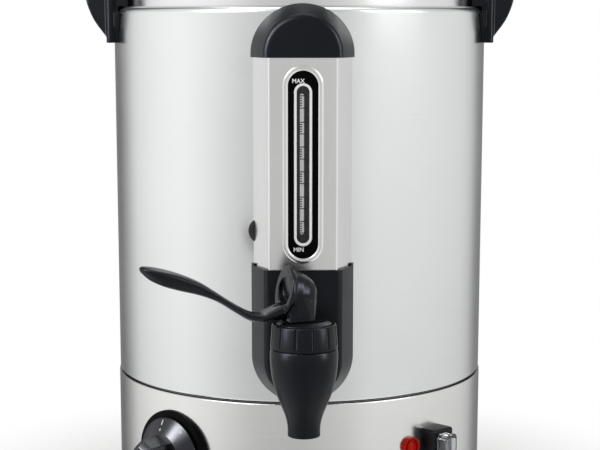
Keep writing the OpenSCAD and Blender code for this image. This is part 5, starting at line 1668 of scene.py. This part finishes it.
@dataclass
class Studio:
    """Pale floor, soft lamps and the camera."""

    distance: float = 1.128
    height: float = 0.340
    azimuth: float = -0.9
    pitch: float = -9.527
    lens: float = 94.39
    shift_x: float = 0.001
    shift_y: float = 0.105
    # Brightness of the room to all but mirrored rays
    ambient: float = 0.42
    # Radii in metres between which the floor fades into the white room
    fade: tuple[float, float] = (0.14, 0.32)
    # Brightness of the studio's walls by compass angle from the front, right is positive
    walls: tuple[tuple[float, float], ...] = (
        (-180, 0.75), (-168, 0.26), (-150, 0.16), (-136, 0.42), (-122, 0.92), (-100, 1.12),
        (-76, 1.20), (-58, 1.06), (-46, 0.92), (-30, 0.74), (0, 0.66), (28, 0.82), (42, 1.0),
        (66, 1.0), (90, 0.96), (118, 0.88), (131, 0.72), (143, 0.30), (158, 0.20), (168, 0.42),
        (180, 0.75))
    # Brightness of the walls by height, as the sine of the angle above the horizon
    heights: tuple[tuple[float, float], ...] = (
        (-1.0, 1.15), (-0.5, 1.1), (-0.36, 0.8), (-0.1, 1.0), (0.2, 1.0), (0.5, 0.8), (1.0, 0.9))

    def camera(self) -> None:
        """Set up the camera at its measured place."""
        data = bpy.data.cameras.new("view")
        data.lens, data.sensor_width = self.lens, 36.0
        data.shift_x, data.shift_y = self.shift_x, self.shift_y
        data.clip_start, data.clip_end = 0.05, 50.0
        made = add_object("view", data)
        turn = math.radians(self.azimuth)
        made.location = (self.distance * math.sin(turn), -self.distance * math.cos(turn), self.height)
        made.rotation_euler = (math.radians(90 + self.pitch), 0, turn)
        bpy.context.scene.camera = made

    @staticmethod
    def soft_box(name: str, size: tuple[float, float], power: float, spot: Corner,
                 aim: float) -> bpy.types.Object:
        """Set up an area lamp.

        Args:
            name: Its name.
            size: Its width and height in metres.
            power: Its power in watts.
            spot: Where it stands, in metres.
            aim: The height on the axis that it faces.

        Returns:
            The lamp.
        """
        data = bpy.data.lights.new(name, "AREA")
        data.shape, data.energy = "RECTANGLE", power
        data.size, data.size_y = size
        made = add_object(name, data)
        made.location = spot
        made.rotation_euler = (Vector((0, 0, aim)) - Vector(spot)).to_track_quat("-Z", "Y").to_euler()
        return made

    def lamps(self) -> None:
        """Set up the soft lamps."""
        for name, size, power, spot in (
            ("key", 0.9, 8.0, (-1.0, -0.9, 1.25)),
            ("fill", 0.8, 4.5, (1.15, -0.7, 0.95)),
            ("top", 1.0, 6.0, (0.0, 0.1, 1.7)),
        ):
            self.soft_box(name, (size, size), power, spot, 0.2)

    def strips(self) -> None:
        """Set up four soft strips that only the black mouldings take.

        They stand in for the flags of a product studio, which keep the steel from their glare.
        """
        takers = bpy.data.collections.new("black_mouldings")
        dark = {f.name for f in (SATIN_BLACK, LEVER_BLACK, GLOSS_BLACK)}
        for thing in bpy.data.objects:
            if thing.type == "MESH" and any(m and m.name in dark for m in thing.data.materials):
                takers.objects.link(thing)
        for name, wide, tall, power, spot in (
            ("strip_left", 0.3, 0.9, 11.0, (-0.95, -0.55, 0.55)),
            ("strip_right", 0.25, 0.8, 7.0, (0.95, -0.5, 0.5)),
            ("strip_high", 0.5, 0.3, 5.0, (-0.5, -0.75, 1.0)),
            ("strip_knob", 0.4, 0.5, 9.0, (-0.91, -0.65, 0.76)),
        ):
            made = self.soft_box(name, (wide, tall), power, spot, 0.25)
            made.light_linking.receiver_collection = takers

    def world(self) -> None:
        """Light the room: plain white to the eye, walls of soft grey and white to the steel."""
        world = bpy.data.worlds.new("studio")
        tree = bare_tree(world)
        path = add_node(tree, "ShaderNodeLightPath")
        way = add_node(tree, "ShaderNodeTexCoord").outputs["Generated"]
        parts = add_node(tree, "ShaderNodeSeparateXYZ", {0: way})
        front = work_out(tree, "MULTIPLY", parts.outputs[1], -1.0)
        angle = work_out(tree, "ARCTAN2", parts.outputs[0], front)
        share = add_node(tree, "ShaderNodeMapRange",
                         {0: angle, 1: -math.pi, 2: math.pi, 3: 0.0, 4: 1.0}).outputs[0]
        top = max(grey for _, grey in self.walls)
        ramp = set_stops(add_node(tree, "ShaderNodeValToRGB", {0: share}),
                         [((a + 180) / 360, grey / top) for a, grey in self.walls])
        walls = work_out(tree, "MULTIPLY", ramp.outputs[0], top)
        most = max(grey for _, grey in self.heights)
        level = add_node(tree, "ShaderNodeMapRange", {0: parts.outputs[2], 1: -1.0, 2: 1.0}).outputs[0]
        layers = set_stops(add_node(tree, "ShaderNodeValToRGB", {0: level}),
                           [((h + 1) / 2, grey / most) for h, grey in self.heights])
        seen = work_out(tree, "MULTIPLY", walls, work_out(tree, "MULTIPLY", layers.outputs[0], most))
        ambient = add_node(tree, "ShaderNodeMix", {
            0: path.outputs["Is Glossy Ray"], 2: self.ambient, 3: seen}, data_type="FLOAT").outputs[0]
        clear = work_out(tree, "MAXIMUM", path.outputs["Is Camera Ray"],
                         path.outputs["Is Transmission Ray"])
        power = add_node(tree, "ShaderNodeMix", {0: clear, 2: ambient, 3: 1.0},
                         data_type="FLOAT").outputs[0]
        glow = add_node(tree, "ShaderNodeBackground", {"Color": (1, 1, 1, 1), "Strength": power})
        add_node(tree, "ShaderNodeOutputWorld", {0: glow.outputs[0]})
        bpy.context.scene.world = world

    def floor(self) -> None:
        """Lay the pale floor, which keeps the urn's shadow and fades into the white room."""
        form = Form()
        bmesh.ops.create_circle(form.mesh, cap_ends=True, radius=2.6, segments=128)
        made = form.scratch("floor")
        made.location = (0, 0, -0.0002)
        made.visible_glossy = False
        paper = bpy.data.materials.new("paper_sweep_white")
        tree = bare_tree(paper)
        place = add_node(tree, "ShaderNodeTexCoord").outputs["Object"]
        far = add_node(tree, "ShaderNodeVectorMath", {0: place}, operation="LENGTH").outputs["Value"]
        near, end = self.fade
        fade = add_node(tree, "ShaderNodeMapRange", {0: far, 1: near, 2: end, 3: 0.4, 4: 1.0},
                        interpolation_type="SMOOTHSTEP").outputs[0]
        path = add_node(tree, "ShaderNodeLightPath")
        seen = work_out(tree, "MAXIMUM", path.outputs["Is Camera Ray"],
                        path.outputs["Is Transmission Ray"])
        share = work_out(tree, "MULTIPLY", fade, seen)
        matt = add_node(tree, "ShaderNodeBsdfDiffuse", {"Color": linear("#F4F4F2")}).outputs[0]
        white = add_node(tree, "ShaderNodeEmission", {"Strength": 1.0}).outputs[0]
        mixed = add_node(tree, "ShaderNodeMixShader", {0: share, 1: matt, 2: white}).outputs[0]
        under = add_node(tree, "ShaderNodeNewGeometry").outputs["Backfacing"]
        clear = add_node(tree, "ShaderNodeBsdfTransparent").outputs[0]
        whole = add_node(tree, "ShaderNodeMixShader", {0: under, 1: mixed, 2: clear}).outputs[0]
        add_node(tree, "ShaderNodeOutputMaterial", {"Surface": whole})
        made.data.materials.append(paper)

    def build(self) -> None:
        """Set up the whole studio."""
        self.camera()
        self.lamps()
        self.world()
        self.floor()
        bpy.context.scene.view_settings.view_transform = "Standard"


class HiddenWorks:
    """The pieces inside, kept as the CAD made them and given their real surfaces."""

    def build(self) -> None:
        """Dress every CAD node that no built piece stands for."""
        replaced = {node for o in bpy.data.objects for node in o.get("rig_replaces", [])}
        for name, node in frame["nodes"].items():
            if name in replaced:
                continue
            finish = FINISHES[SLOTS[name]]
            if not node.material_slots:
                node.data.materials.append(finish.material())
            for slot in node.material_slots:
                slot.material = finish.material()
            log.info("%s: kept from the frame, %s", name, finish.name)


def main() -> None:
    """Build the studio and every sub-assembly."""
    studio = Studio()
    for assembly in (studio, Body(), Lid(), Handles(), Gauge(), Tap(), Controls(), Rear(),
                     Fasteners(), HiddenWorks()):
        assembly.build()
        log.info("%s is built", type(assembly).__name__)
    studio.strips()


if __name__ == "__main__":
    main()
